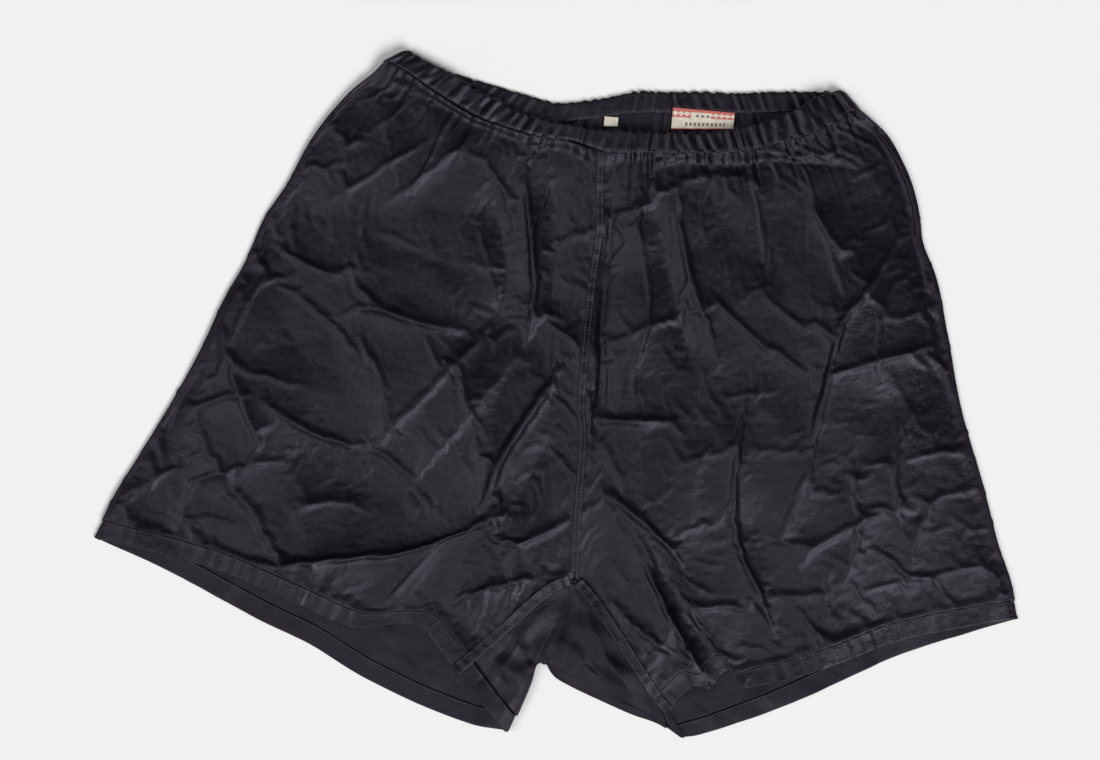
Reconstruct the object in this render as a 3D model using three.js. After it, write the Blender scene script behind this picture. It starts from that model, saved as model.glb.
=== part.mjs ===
import * as THREE from 'three';

// Boxing shorts of black cotton sateen, lying flat on their back.
// Millimetres, +Z up, +Y towards the waist, +X towards the wearer's left.
// The origin is on the table, under the middle of the outline.

// Cloth, trims and clearances
const CLOTH = 1.0;
const GAP = 0.3;
const SHEET_GAP = 1.0;
const WAIST_GAP = 1.6;
const SEAM_WIDTH = 6;
const INSEAM_WIDTH = 9;
const SEAM_THICKNESS = 1.6;
const SIDE_SEAM_THICKNESS = 3;
const HEM_WIDTH = 15;
const HEM_THICKNESS = 1.6;
const CASING_WIDTH = 17;
const CASING_THICKNESS = 3.2;
const CASING_WALL = 0.8;
const ELASTIC_WIDTH = 12;
const ELASTIC_THICKNESS = 0.8;
const THREAD_WIDTH = 0.6;
const THREAD_THICKNESS = 0.4;
const STITCH_INSET = 1.4;
const HINGE_GAP = 0.9;

// Heights of the middle surfaces over the table
const BACK_Z = CLOTH / 2;
const FRONT_Z = 12;
const WAIST_SIDE_Z = 7.1;
const HEM_SIDE_Z = 2.5;
const FOLD_RADIUS = 2.5;
const SIDE_ROLL = 60;
const CORNER_POWER = 8;

// Steps of the sheets: rows from waist to hem, columns across
const ROWS = 14;
const NOTCH_ROW = 9;
const CROTCH_ROW = 11;
const COLUMNS = 10;
const FOLD_START = 0.7;
const FOLD_END = 0.9;
const WAIST_STATIONS = 56;
const TURN_STEPS = 4;

// Lines of the outline, seen from above
const line = (...points) => new THREE.SplineCurve(points.map(([x, y]) => new THREE.Vector2(x, y)));
const CROTCH = [14, -133];
const NOTCH = [-2, -197];
const FRONT_WAIST = line([-145, 253], [-109, 238], [-60, 215], [-25, 210], [5, 207], [58, 210], [104, 215],
  [142, 232], [180, 253]);
const BACK_WAIST = line([180, 253], [128, 249], [94, 244], [52, 242], [15, 235], [-32, 225], [-60, 230],
  [-109, 237], [-145, 253]);
const FRONT_SEAM = line([5, 189], [9, 130], [7, 5], [11.5, -60], [13, -124]);
const BACK_SEAM = line([53, 222], [37, 20], [14, -136], NOTCH);
const LEGS = {
  right: {
    hand: -1,
    side: line([-160, 241], [-189, 217], [-218, 172], [-245, 116], [-268, 54], [-300, -23], [-352, -134]),
    inseam: line([6, -137], [-24, -162], [-46, -186], [-70, -210]),
    frontHem: line([-352, -134], [-250, -152], [-192, -172], [-140, -185], [-104, -189], [-70, -210]),
    backHem: line([-352, -134], [-268, -166], [-181, -201], [-94, -239], [-29, -253]),
    fold: line([-6, -197], [-13, -215], [-29, -253]),
  },
  left: {
    hand: 1,
    side: line([194, 241], [221, 220], [247, 178], [254, 143], [281, 71], [316, -33], [352, -133]),
    inseam: line([23, -140], [56, -181], [82, -214], [93, -226]),
    frontHem: line([352, -133], [260, -159], [184, -193], [140, -203], [93, -226]),
    backHem: line([352, -133], [265, -168], [185, -213], [118, -244]),
    fold: line([2, -200], [42, -219], [80, -232], [118, -244]),
  },
};

// Labels inside the back of the waist
const LABEL = { left: 56, right: 103, top: 229.5, lowLeft: 213, lowRight: 217, z: 4.45, thickness: 0.5 };
const TAG = { left: 5, right: 15.5, top: 218, lowLeft: 210.6, lowRight: 211.4, z: 4.45, thickness: 0.5 };

const BLACK = { color: 0x29272e, roughness: 0.55, metalness: 0 };
const BLACK_EDGE = { color: 0x222026, roughness: 0.6, metalness: 0 };
const THREAD = { color: 0x19181c, roughness: 0.8, metalness: 0 };
const ELASTIC = { color: 0x8e8a80, roughness: 0.85, metalness: 0 };
const LABEL_CLOTH = { color: 0xd8cfbf, roughness: 0.8, metalness: 0 };

const shorts = new THREE.Group();

function add(name, geometry, finish) {
  const mesh = new THREE.Mesh(geometry, new THREE.MeshStandardMaterial(finish));
  mesh.name = name;
  shorts.add(mesh);
}

const mix = THREE.MathUtils.lerp;
const smooth = (x) => THREE.MathUtils.smoothstep(x, 0, 1);

// The point at fraction t of a plan line, moved sideways: positive to the left of its direction.
function beside(curve, t, distance = 0) {
  const along = curve.getTangentAt(t);
  return curve.getPointAt(t).add(new THREE.Vector2(-along.y, along.x).multiplyScalar(distance));
}

// A sheet of even thickness about the middle surface place(u, v).
function sheet(place, thickness, across, along) {
  const geometry = new THREE.BoxGeometry(1, 1, 1, across, along, 1);
  const position = geometry.attributes.position;
  for (let i = 0; i < position.count; i += 1) {
    const u = THREE.MathUtils.clamp(position.getX(i) + 0.5, 0, 1);
    const v = THREE.MathUtils.clamp(position.getY(i) + 0.5, 0, 1);
    const side = Math.sign(position.getZ(i));
    const acrossStep = place(Math.min(u + 1 / across, 1), v).sub(place(Math.max(u - 1 / across, 0), v));
    const alongStep = place(u, Math.min(v + 1 / along, 1)).sub(place(u, Math.max(v - 1 / along, 0)));
    const normal = acrossStep.cross(alongStep).normalize();
    const point = place(u, v).addScaledVector(normal, side * thickness / 2);
    position.setXYZ(i, point.x, point.y, point.z);
  }
  geometry.computeVertexNormals();
  return geometry;
}

// A patch between four plan lines: top(u), bottom(u), start(v), end(v).
// The two side lines bend near their ends to meet the corners of the top and bottom lines.
function patch(top, bottom, start, end) {
  const meet = (side, upper, lower) => (v) => side(v)
    .addScaledVector(upper.clone().sub(side(0)), (1 - v) ** CORNER_POWER)
    .addScaledVector(lower.clone().sub(side(1)), v ** CORNER_POWER);
  const startLine = meet(start, top(0), bottom(0));
  const endLine = meet(end, top(1), bottom(1));
  return (u, v) => {
    const point = top(u).multiplyScalar(1 - v).addScaledVector(bottom(u), v);
    point.addScaledVector(startLine(v), 1 - u).addScaledVector(endLine(v), u);
    point.addScaledVector(top(0), -(1 - u) * (1 - v)).addScaledVector(top(1), -u * (1 - v));
    return point.addScaledVector(bottom(0), -(1 - u) * v).addScaledVector(bottom(1), -u * v);
  };
}

// The point of a waist line below which a piece at this x hangs, moved down by the casing and a gap.
function underWaist(curve, x, side) {
  let [low, high] = [0, 1];
  const rising = curve.getPointAt(1).x > curve.getPointAt(0).x;
  for (let i = 0; i < 40; i += 1) {
    const middle = (low + high) / 2;
    const before = (beside(curve, middle, side).x < x) === rising;
    [low, high] = before ? [middle, high] : [low, middle];
  }
  return beside(curve, (low + high) / 2, side);
}

const raise = (plan, z) => new THREE.Vector3(plan.x, plan.y, z);

// The front rises from the side over SIDE_ROLL and is level in the middle.
function frontHeight(distance, v) {
  const edge = mix(WAIST_SIDE_Z, HEM_SIDE_Z, smooth(v * 3));
  return mix(edge, FRONT_Z, smooth(distance / SIDE_ROLL));
}

// ---- Waist: one loop, along the front from right to left and back along the back ----

const WAIST_TURN = 0.02;

function waistPath(t) {
  const half = 0.5 - WAIST_TURN;
  const turnRadius = (WAIST_SIDE_Z - CASING_THICKNESS / 2) / 2;
  const turnZ = WAIST_SIDE_Z - turnRadius;
  const loop = ((t % 1) + 1) % 1;
  const front = loop < 0.5;
  const local = front ? loop : loop - 0.5;
  const curve = front ? FRONT_WAIST : BACK_WAIST;
  if (local < half) {
    const s = local / half;
    const point = curve.getPointAt(s);
    const tangent = curve.getTangentAt(s);
    const inward = front ? new THREE.Vector3(tangent.y, -tangent.x, 0) : new THREE.Vector3(-tangent.y, tangent.x, 0);
    const edge = Math.min(s, 1 - s) * curve.getLength();
    const z = front ? mix(WAIST_SIDE_Z, FRONT_Z, smooth(edge / SIDE_ROLL)) : CASING_THICKNESS / 2;
    return { point: raise(point, z), inward, outward: new THREE.Vector3(0, 0, front ? 1 : -1) };
  }
  const angle = ((local - half) / WAIST_TURN) * Math.PI;
  const end = curve.getPointAt(1);
  const hand = front ? 1 : -1;
  const outward = new THREE.Vector3(hand * Math.sin(angle), 0, hand * Math.cos(angle));
  const tangent = curve.getTangentAt(1);
  const inward = front ? new THREE.Vector3(tangent.y, -tangent.x, 0) : new THREE.Vector3(-tangent.y, tangent.x, 0);
  return { point: raise(end, turnZ).addScaledVector(outward, turnRadius), inward, outward };
}

// Stations stand closer together at the turns.
function waistStation(k) {
  const perHalf = WAIST_STATIONS / 2;
  const half = Math.floor(k / perHalf);
  const step = k % perHalf;
  const straight = perHalf - TURN_STEPS;
  const local = step <= straight
    ? (step / straight) * (0.5 - WAIST_TURN)
    : 0.5 - WAIST_TURN + ((step - straight) / TURN_STEPS) * WAIST_TURN;
  return half * 0.5 + local;
}

// A closed profile carried round the waist: x is the distance below the top edge, y is outwards.
function waistRing(profile) {
  const closed = [...profile, profile[0]];
  const centreRadius = 100;
  const geometry = new THREE.LatheGeometry(closed.map(([x, y]) => new THREE.Vector2(centreRadius + y, -x)),
    WAIST_STATIONS);
  const position = geometry.attributes.position;
  for (let i = 0; i < position.count; i += 1) {
    const k = Math.floor(i / closed.length) % WAIST_STATIONS;
    const [below, out] = closed[i % closed.length];
    const { point, inward, outward } = waistPath(waistStation(k));
    point.addScaledVector(inward, below).addScaledVector(outward, out);
    position.setXYZ(i, point.x, point.y, point.z);
  }
  geometry.computeVertexNormals();
  return geometry;
}

const box = (low, high, inner, outer) => [[low, inner], [high, inner], [high, outer], [low, outer]];
const casingHalf = CASING_THICKNESS / 2;
const casingInner = casingHalf - CASING_WALL;
add('waist_casing', waistRing([[0, -casingHalf], [CASING_WIDTH, -casingHalf], [CASING_WIDTH, -casingInner],
  [CASING_WALL, -casingInner], [CASING_WALL, casingInner], [CASING_WIDTH, casingInner],
  [CASING_WIDTH, casingHalf], [0, casingHalf]]), BLACK);
const elasticTop = (CASING_WIDTH - ELASTIC_WIDTH) / 2;
add('waist_elastic', waistRing(box(elasticTop, elasticTop + ELASTIC_WIDTH, -ELASTIC_THICKNESS / 2,
  ELASTIC_THICKNESS / 2)), ELASTIC);

const casingThread = (curve, hand, z) => (u, v) => {
  const t = mix(0.01, 0.99, v);
  const below = CASING_WIDTH - STITCH_INSET + (u - 0.5) * THREAD_WIDTH;
  return raise(beside(curve, t, hand * below), z(t));
};
const threadLift = (thickness) => (thickness + THREAD_THICKNESS) / 2 + GAP;
const frontCasingZ = (t) => waistPath(t * (0.5 - WAIST_TURN)).point.z + threadLift(CASING_THICKNESS);
const backCasingZ = () => CASING_THICKNESS / 2 + threadLift(CASING_THICKNESS);
const casingSteps = WAIST_STATIONS / 2 - TURN_STEPS;
add('waist_front_stitching', sheet(casingThread(FRONT_WAIST, -1, frontCasingZ), THREAD_THICKNESS, 1, casingSteps),
  THREAD);
add('waist_back_stitching', sheet(casingThread(BACK_WAIST, 1, backCasingZ), THREAD_THICKNESS, 1, casingSteps),
  THREAD);

// ---- Front panels, hems and seams ----

const seamEdge = SEAM_WIDTH / 2 + SHEET_GAP;
const inseamEdge = INSEAM_WIDTH / 2 + SHEET_GAP;
const sideEdge = SEAM_WIDTH + SHEET_GAP;

const crotchShare = CROTCH_ROW / ROWS;

function legFront(name, leg) {
  const { hand, side, inseam, frontHem } = leg;
  const sideEnd = 1 - (HEM_WIDTH + SHEET_GAP) / side.getLength();
  const inseamEnd = 1 - (HEM_WIDTH + SHEET_GAP) / inseam.getLength();
  const upSide = side.getTangentAt(1).negate();
  const upInseam = inseam.getTangentAt(1).negate();
  const hemLength = frontHem.getLength();
  const hemStart = (sideEdge + GAP) / hemLength;
  const hemStop = 1 - (inseamEdge + GAP) / hemLength;
  const hemOuter = (u) => frontHem.getPointAt(mix(hemStart, hemStop, u));
  const hemUp = (u) => upSide.clone().lerp(upInseam, u).normalize();
  const hemInner = (u, extra) => hemOuter(u).addScaledVector(hemUp(u), HEM_WIDTH + extra);

  const outer = (v) => beside(side, v * sideEnd, -hand * sideEdge);
  const inner = (v) => (v <= crotchShare
    ? beside(FRONT_SEAM, v / crotchShare, hand * seamEdge)
    : beside(inseam, ((v - crotchShare) / (1 - crotchShare)) * inseamEnd, hand * inseamEdge));
  const top = (u) => underWaist(FRONT_WAIST, mix(outer(0).x, inner(0).x, u), -(CASING_WIDTH + WAIST_GAP));
  const bottom = (u) => hemInner(u, SHEET_GAP);
  const plan = patch(top, bottom, outer, inner);
  const span = (u, v) => plan(u, v).distanceTo(plan(0, v));
  add(`${name}_front_panel`, sheet((u, v) => raise(plan(u, v), frontHeight(span(u, v), v)), CLOTH, COLUMNS, ROWS),
    BLACK);

  const hemHeight = (u) => frontHeight(u * hemLength, 1);
  add(`${name}_front_hem`, sheet((u, v) => raise(hemInner(u, 0).lerp(hemOuter(u), v), hemHeight(u)),
    HEM_THICKNESS, COLUMNS, 1), BLACK_EDGE);
  const hemStitch = (u, v) => hemOuter(u).addScaledVector(hemUp(u), HEM_WIDTH - STITCH_INSET - v * THREAD_WIDTH);
  add(`${name}_front_hem_stitching`, sheet((u, v) => raise(hemStitch(u, v), hemHeight(u) + threadLift(HEM_THICKNESS)),
    THREAD_THICKNESS, COLUMNS, 1), THREAD);

  const sideStrip = (u, v) => raise(beside(side, v, -hand * u * SEAM_WIDTH), SIDE_SEAM_THICKNESS / 2);
  add(`${name}_side_seam`, sheet(sideStrip, SIDE_SEAM_THICKNESS, 1, ROWS), BLACK_EDGE);

  const inseamStrip = (u, v) => raise(beside(inseam, v, (u - 0.5) * INSEAM_WIDTH), FRONT_Z);
  add(`${name}_inseam`, sheet(inseamStrip, SEAM_THICKNESS, 1, 6), BLACK_EDGE);
  for (const [row, sign] of [['upper', hand], ['lower', -hand]]) {
    const rowAt = sign * (INSEAM_WIDTH / 2 - STITCH_INSET);
    const thread = (u, v) => raise(beside(inseam, v, rowAt + (u - 0.5) * THREAD_WIDTH), FRONT_Z + threadLift(SEAM_THICKNESS));
    add(`${name}_inseam_${row}_stitching`, sheet(thread, THREAD_THICKNESS, 1, 6), THREAD);
  }
}

// ---- Back panels and hems: they turn up round the inner leg edge to the inseam ----

const notchShare = NOTCH_ROW / ROWS;
const BACK_STRIP = 15;

// Across a row: flat on the table, half round the fold, then over the top to the inner edge.
function turned(under, foldPoint, foldOut, end, u, low) {
  if (u <= FOLD_START) {
    return raise(under(u / FOLD_START), low);
  }
  if (u <= FOLD_END) {
    const angle = ((u - FOLD_START) / (FOLD_END - FOLD_START)) * Math.PI;
    const centre = foldPoint.clone().addScaledVector(foldOut, -FOLD_RADIUS);
    const point = centre.addScaledVector(foldOut, FOLD_RADIUS * Math.sin(angle));
    return raise(point, low + FOLD_RADIUS * (1 - Math.cos(angle)));
  }
  const over = (u - FOLD_END) / (1 - FOLD_END);
  const start = foldPoint.clone().addScaledVector(foldOut, -FOLD_RADIUS);
  return raise(start.lerp(end, over), mix(low + 2 * FOLD_RADIUS, FRONT_Z, over));
}

function legBack(name, leg) {
  const { hand, side, inseam, backHem, fold } = leg;
  const sideEnd = 1 - (HEM_WIDTH + SHEET_GAP) / side.getLength();
  const inseamEnd = 1 - (HEM_WIDTH + SHEET_GAP) / inseam.getLength();
  const foldEnd = 1 - (HEM_WIDTH + SHEET_GAP) / fold.getLength();
  const upSide = side.getTangentAt(1).negate();
  const upFold = fold.getTangentAt(1).negate();
  const upInseam = inseam.getTangentAt(1).negate();
  const foldOut = (t) => {
    const along = fold.getTangentAt(t);
    return new THREE.Vector2(-along.y, along.x).multiplyScalar(-hand);
  };
  const hemLength = backHem.getLength();
  const hemStart = (sideEdge + GAP) / hemLength;
  const hemStop = 1 - FOLD_RADIUS / hemLength;
  const hemOuter = (u) => backHem.getPointAt(mix(hemStart, hemStop, u));
  const hemInner = (u, extra) => hemOuter(u).addScaledVector(upSide.clone().lerp(upFold, u).normalize(),
    HEM_WIDTH + extra);

  const outer = (v) => beside(side, v * sideEnd, -hand * sideEdge);
  const seamSide = (v, distance) => {
    const sideways = new THREE.Vector2(hand * distance, 0);
    const start = BACK_SEAM.getPointAt(0).add(sideways);
    const hung = underWaist(BACK_WAIST, start.x, CASING_WIDTH + WAIST_GAP);
    const point = BACK_SEAM.getPointAt(v / notchShare).add(sideways);
    return point.addScaledVector(hung.sub(start), (1 - v) ** CORNER_POWER);
  };
  const foldAt = (v) => ((v - notchShare) / (1 - notchShare)) * foldEnd;
  const underEnd = (v) => (v <= notchShare
    ? seamSide(v, seamEdge + BACK_STRIP)
    : beside(fold, foldAt(v)).addScaledVector(foldOut(foldAt(v)), -FOLD_RADIUS));
  const top = (u) => underWaist(BACK_WAIST, mix(outer(0).x, underEnd(0).x, u), CASING_WIDTH + WAIST_GAP);
  const bottom = (u) => hemInner(u, SHEET_GAP);
  const under = patch(top, bottom, outer, underEnd);
  const innerTop = (v) => {
    if (v <= crotchShare) {
      const climb = (v - notchShare) / (crotchShare - notchShare);
      const notch = new THREE.Vector2(...NOTCH);
      return notch.lerp(new THREE.Vector2(...CROTCH), climb * 0.9).add(new THREE.Vector2(hand * seamEdge, 0));
    }
    return beside(inseam, ((v - crotchShare) / (1 - crotchShare)) * inseamEnd, -hand * inseamEdge);
  };
  const place = (u, v) => {
    if (v <= notchShare + 1e-6) {
      const across = u <= FOLD_START
        ? under(u / FOLD_START, v)
        : seamSide(Math.min(v, notchShare), mix(seamEdge + BACK_STRIP, seamEdge, (u - FOLD_START) / (1 - FOLD_START)));
      return raise(across, BACK_Z);
    }
    return turned((w) => under(w, v), beside(fold, foldAt(v)), foldOut(foldAt(v)), innerTop(v), u, BACK_Z);
  };
  add(`${name}_back_panel`, sheet(place, CLOTH, COLUMNS, ROWS), BLACK);

  const low = HEM_THICKNESS / 2;
  const hemPlace = (u, v) => {
    const row = (w) => hemInner(w, 0).lerp(hemOuter(w), v);
    const rowOut = row(1).sub(row(0.9)).normalize();
    const t = mix(1 - HEM_WIDTH / fold.getLength(), 1, v);
    const end = beside(inseam, mix(1 - HEM_WIDTH / inseam.getLength(), 1, v), -hand * (inseamEdge + SHEET_GAP));
    return turned(row, beside(fold, t), rowOut, end, u, low);
  };
  add(`${name}_back_hem`, sheet(hemPlace, HEM_THICKNESS, COLUMNS, 1), BLACK_EDGE);

  const stitchAt = (u, v) => hemInner(mix(0.08, 0.96, u), -STITCH_INSET - v * THREAD_WIDTH);
  add(`${name}_back_hem_stitching`, sheet((u, v) => raise(stitchAt(u, v), low + threadLift(HEM_THICKNESS)),
    THREAD_THICKNESS, COLUMNS * FOLD_START, 1), THREAD);
}

for (const [name, leg] of Object.entries(LEGS)) {
  legFront(name, leg);
  legBack(name, leg);
}

// ---- Centre seams ----

const seamRow = SEAM_WIDTH / 2 - STITCH_INSET;
const frontStrip = (u, v) => raise(beside(FRONT_SEAM, v, (u - 0.5) * SEAM_WIDTH), FRONT_Z);
add('front_centre_seam', sheet(frontStrip, SEAM_THICKNESS, 1, CROTCH_ROW), BLACK_EDGE);
for (const [name, side] of [['right', -1], ['left', 1]]) {
  const thread = (u, v) => raise(beside(FRONT_SEAM, v, side * seamRow + (u - 0.5) * THREAD_WIDTH),
    FRONT_Z + threadLift(SEAM_THICKNESS));
  add(`front_seam_${name}_stitching`, sheet(thread, THREAD_THICKNESS, 1, CROTCH_ROW), THREAD);
}

// The back seam runs under the body, turns up at the notch between the legs and ends at the crotch.
const UNDER_SHARE = 0.7;
const TURN_SHARE = 0.9;
const backLow = SEAM_THICKNESS / 2;
function backSeamMiddle(v) {
  if (v <= UNDER_SHARE) {
    return raise(BACK_SEAM.getPointAt(v / UNDER_SHARE), backLow);
  }
  const notch = new THREE.Vector3(...NOTCH, backLow + FOLD_RADIUS);
  if (v <= TURN_SHARE) {
    const angle = ((v - UNDER_SHARE) / (TURN_SHARE - UNDER_SHARE)) * Math.PI;
    return notch.add(new THREE.Vector3(0, -FOLD_RADIUS * Math.sin(angle), -FOLD_RADIUS * Math.cos(angle)));
  }
  const climb = (v - TURN_SHARE) / (1 - TURN_SHARE);
  const crotch = new THREE.Vector3(...CROTCH, FRONT_Z).add(new THREE.Vector3(0, -SEAM_WIDTH, 0));
  return notch.setZ(backLow + 2 * FOLD_RADIUS).lerp(crotch, climb);
}
const backStrip = (u, v) => backSeamMiddle(v).add(new THREE.Vector3((u - 0.5) * SEAM_WIDTH, 0, 0));
add('back_centre_seam', sheet(backStrip, SEAM_THICKNESS, 1, 2 * COLUMNS), BLACK_EDGE);
for (const [name, side] of [['right', -1], ['left', 1]]) {
  const thread = (u, v) => backSeamMiddle(v * UNDER_SHARE).add(new THREE.Vector3(
    side * seamRow + (u - 0.5) * THREAD_WIDTH, 0, threadLift(SEAM_THICKNESS)));
  add(`back_seam_${name}_stitching`, sheet(thread, THREAD_THICKNESS, 1, 2 * COLUMNS * UNDER_SHARE), THREAD);
}

// ---- Labels: each hangs from its upper edge, sewn to the inside of the back casing ----

function hungLabel(name, { left, right, top, lowLeft, lowRight, z, thickness }) {
  const plan = (u, v) => new THREE.Vector3(mix(left, right, u), mix(mix(lowLeft, lowRight, u), top, v), z);
  add(name, sheet(plan, thickness, 4, 2), LABEL_CLOTH);
  const bar = (u, v) => new THREE.Vector3(mix(left, right, u), top + HINGE_GAP + v * THREAD_WIDTH, z);
  add(`${name}_stitching`, sheet(bar, THREAD_THICKNESS, 1, 1), THREAD);
}
hungLabel('maker_label', LABEL);
hungLabel('size_tag', TAG);

export default shorts;
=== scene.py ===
import math

import bmesh
import bpy
import numpy as np
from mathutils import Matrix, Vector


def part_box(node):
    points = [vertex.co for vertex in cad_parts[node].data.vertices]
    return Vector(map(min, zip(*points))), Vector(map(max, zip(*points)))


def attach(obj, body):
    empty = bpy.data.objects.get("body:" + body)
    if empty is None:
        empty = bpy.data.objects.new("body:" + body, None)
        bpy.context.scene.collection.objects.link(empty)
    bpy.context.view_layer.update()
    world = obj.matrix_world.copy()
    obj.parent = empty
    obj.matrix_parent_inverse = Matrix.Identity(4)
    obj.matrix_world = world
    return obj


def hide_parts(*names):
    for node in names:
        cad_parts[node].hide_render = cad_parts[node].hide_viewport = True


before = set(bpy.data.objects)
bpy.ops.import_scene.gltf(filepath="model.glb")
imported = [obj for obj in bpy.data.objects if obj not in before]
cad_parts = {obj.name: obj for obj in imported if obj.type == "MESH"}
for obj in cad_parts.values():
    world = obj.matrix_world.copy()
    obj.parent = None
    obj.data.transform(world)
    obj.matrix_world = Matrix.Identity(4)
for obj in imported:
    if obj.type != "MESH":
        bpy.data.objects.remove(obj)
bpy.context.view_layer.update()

bl_info = {
    "name": "Boxing Shorts",
    "version": (1, 0, 0),
    "blender": (4, 5, 0),
    "location": "3D View > Sidebar > Shorts",
    "description": "Builds black sateen boxing shorts lying flat, with gathered waist, felled seams and turned hems",
    "category": "Add Mesh",
}

MM = 0.001
GARMENT = "garment"
SIDE_NAMES = ("right", "left")
FRONT_GRID = (222, 206)      # rows and columns of a finished front panel
SETTLE_GRID = (130, 112)     # rows and columns of a front panel in the simulation
SUPPORT_GRID = (84, 112)     # rows and columns of the surface it comes to rest on
BACK_GRID = (250, 150)       # rows and columns of a back panel
TURNED_COLUMNS = 72          # columns of the cloth turned up from a back panel
CUT_WIDTH, CUT_LENGTH = 340, 455    # the cut panel, for the threads' directions


# ---- Sizes and colours that a user may change ----

def length(name, description, millimetres):
    return bpy.props.FloatProperty(name=name, description=description, default=millimetres * MM, unit="LENGTH")


def colour_of(name, description, *value):
    return bpy.props.FloatVectorProperty(name=name, description=description, subtype="COLOR", size=3, default=value)


class SHORTS_PG_sizes(bpy.types.PropertyGroup):
    """Sizes of the cloth, its turned edges and its stitches."""

    cloth: length("Cloth", "Thickness of the sateen", 0.45)
    hem_width: length("Hem width", "Width of the turned leg hem", 15)
    casing: length("Casing thickness", "Thickness of the waist casing", 3.2)
    loft: length("Loft", "Height of the front over the table", 9.5)
    gather_depth: length("Gather depth", "Height of a gather at the casing", 2.0)
    stitch: length("Stitch length", "Length of one lock stitch", 2.6)
    crumple: bpy.props.FloatProperty(name="Crumple", description="Strength of the small creases", default=1.0)


class SHORTS_PG_colours(bpy.types.PropertyGroup):
    """Colours of the cloth, threads and labels."""

    sateen: colour_of("Sateen", "Colour of the black sateen", 0.0032, 0.0021, 0.0048)
    sheen: colour_of("Sheen", "Colour of the sateen's sheen", 0.62, 0.60, 0.72)
    thread: colour_of("Thread", "Colour of the sewing thread", 0.006, 0.0052, 0.0072)
    elastic: colour_of("Elastic", "Colour of the elastic tape", 0.27, 0.25, 0.21)
    label: colour_of("Label cloth", "Ground colour of the label", 0.66, 0.60, 0.50)
    label_red: colour_of("Label red", "Red of the woven pattern", 0.50, 0.055, 0.045)
    table: colour_of("Table", "Colour of the table", 0.90, 0.90, 0.90)


# ---- Plan lines, in millimetres, seen from above ----

class Line:
    """A smooth plan line through given points: cubic pieces whose end slopes are half the chord between the
    neighbours, read by the share of the line's length."""

    def __init__(self, *points):
        knots = np.array(points, float)
        ext = np.vstack([2 * knots[0] - knots[1], knots, 2 * knots[-1] - knots[-2]])
        t = np.linspace(0, 1, 24, endpoint=False)[:, None]
        parts = []
        for a, b, c, d in zip(ext, ext[1:], ext[2:], ext[3:]):
            parts.append(0.5 * (2 * b + (c - a) * t + (2 * a - 5 * b + 4 * c - d) * t ** 2
                                + (3 * b - a - 3 * c + d) * t ** 3))
        self.points = np.vstack(parts + [knots[-1:]])
        self.reach = np.r_[0, np.cumsum(np.linalg.norm(np.diff(self.points, axis=0), axis=1))]
        self.length = self.reach[-1]

    def at(self, share):
        s = np.clip(share, 0, 1) * self.length
        return np.stack([np.interp(s, self.reach, self.points[:, i]) for i in (0, 1)], -1)

    def heading(self, share):
        share = np.asarray(share, float)
        step = self.at(share + 0.004) - self.at(share - 0.004)
        return step / np.linalg.norm(step, axis=-1, keepdims=True)

    def left(self, share):
        along = self.heading(share)
        return np.stack([-along[..., 1], along[..., 0]], -1)

    def beside(self, share, distance):
        return self.at(share) + self.left(share) * np.asarray(distance, float)[..., None]

    def near(self, xy):
        """Distance to the line, its side (+1 on the left) and the share of the length of the nearest point."""
        flat = xy.reshape(-1, 2)
        best = np.full(len(flat), 1e9)
        side = np.ones(len(flat))
        share = np.zeros(len(flat))
        stride = 6
        nodes = np.vstack([self.points[:-1:stride], self.points[-1:]])
        reach = np.r_[self.reach[:-1:stride], self.reach[-1]]
        for a, b, start, stop in zip(nodes, nodes[1:], reach, reach[1:]):
            edge = b - a
            t = np.clip(((flat - a) @ edge) / (edge @ edge), 0, 1)
            off = flat - a - t[:, None] * edge
            apart = np.hypot(off[:, 0], off[:, 1])
            closer = apart < best
            best[closer] = apart[closer]
            side[closer] = np.sign(edge[0] * off[closer, 1] - edge[1] * off[closer, 0] + 1e-9)
            share[closer] = (start + t[closer] * (stop - start)) / self.length
        shape = xy.shape[:-1]
        return best.reshape(shape), side.reshape(shape), share.reshape(shape)


CROTCH = (14, -133)
NOTCH = (-2, -197)
FRONT_TOP = Line((-146, 254), (-127, 245), (-109, 238), (-92, 229), (-74, 223), (-60, 216), (-42, 212), (-25, 210),
                 (5, 208), (40, 210), (76, 212), (106, 219), (129, 227), (148, 237), (163, 248), (180, 254))
FRONT_LOW = Line((-163, 244), (-142, 234), (-120, 222), (-90, 208), (-63, 201), (-42, 197), (-17, 196), (4, 191),
                 (19, 190), (61, 194), (108, 199), (145, 211), (168, 221), (194, 240))
BACK_TOP = Line((180, 254), (160, 252), (128, 249), (107, 246), (73, 244), (52, 242), (28, 240), (14, 236),
                (-4, 231), (-32, 226), (-56, 230), (-86, 236), (-115, 242), (-146, 254))
BACK_LOW = Line((194, 240), (160, 236), (128, 232), (90, 228), (52, 225), (20, 221), (-4, 215), (-32, 210),
                (-60, 214), (-90, 220), (-125, 230), (-163, 244))
FRONT_SEAM = Line((5, 191), (6, 167), (9, 130), (7, 88), (7, 5), (11, -30), (12, -89), (14, -133))
BACK_SEAM = Line((53, 226), (50, 160), (37, 20), (24, -80), (14, -136), (-2, -197))
SIDES = {
    "right": Line((-163, 244), (-173, 233), (-190, 217), (-207, 194), (-219, 172), (-230, 146), (-246, 116),
                  (-256, 85), (-270, 54), (-284, 15), (-301, -24), (-322, -67), (-339, -101), (-352, -135)),
    "left": Line((194, 240), (207, 232), (222, 220), (238, 196), (247, 175), (251, 160), (255, 143), (268, 116),
                 (281, 71), (295, 21), (316, -33), (332, -78), (344, -105), (352, -133)),
}
INSEAMS = {
    "right": Line((14, -133), (-4, -142), (-24, -162), (-46, -186), (-70, -210)),
    "left": Line((14, -133), (31, -149), (57, -181), (82, -214), (94, -226)),
}
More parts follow.
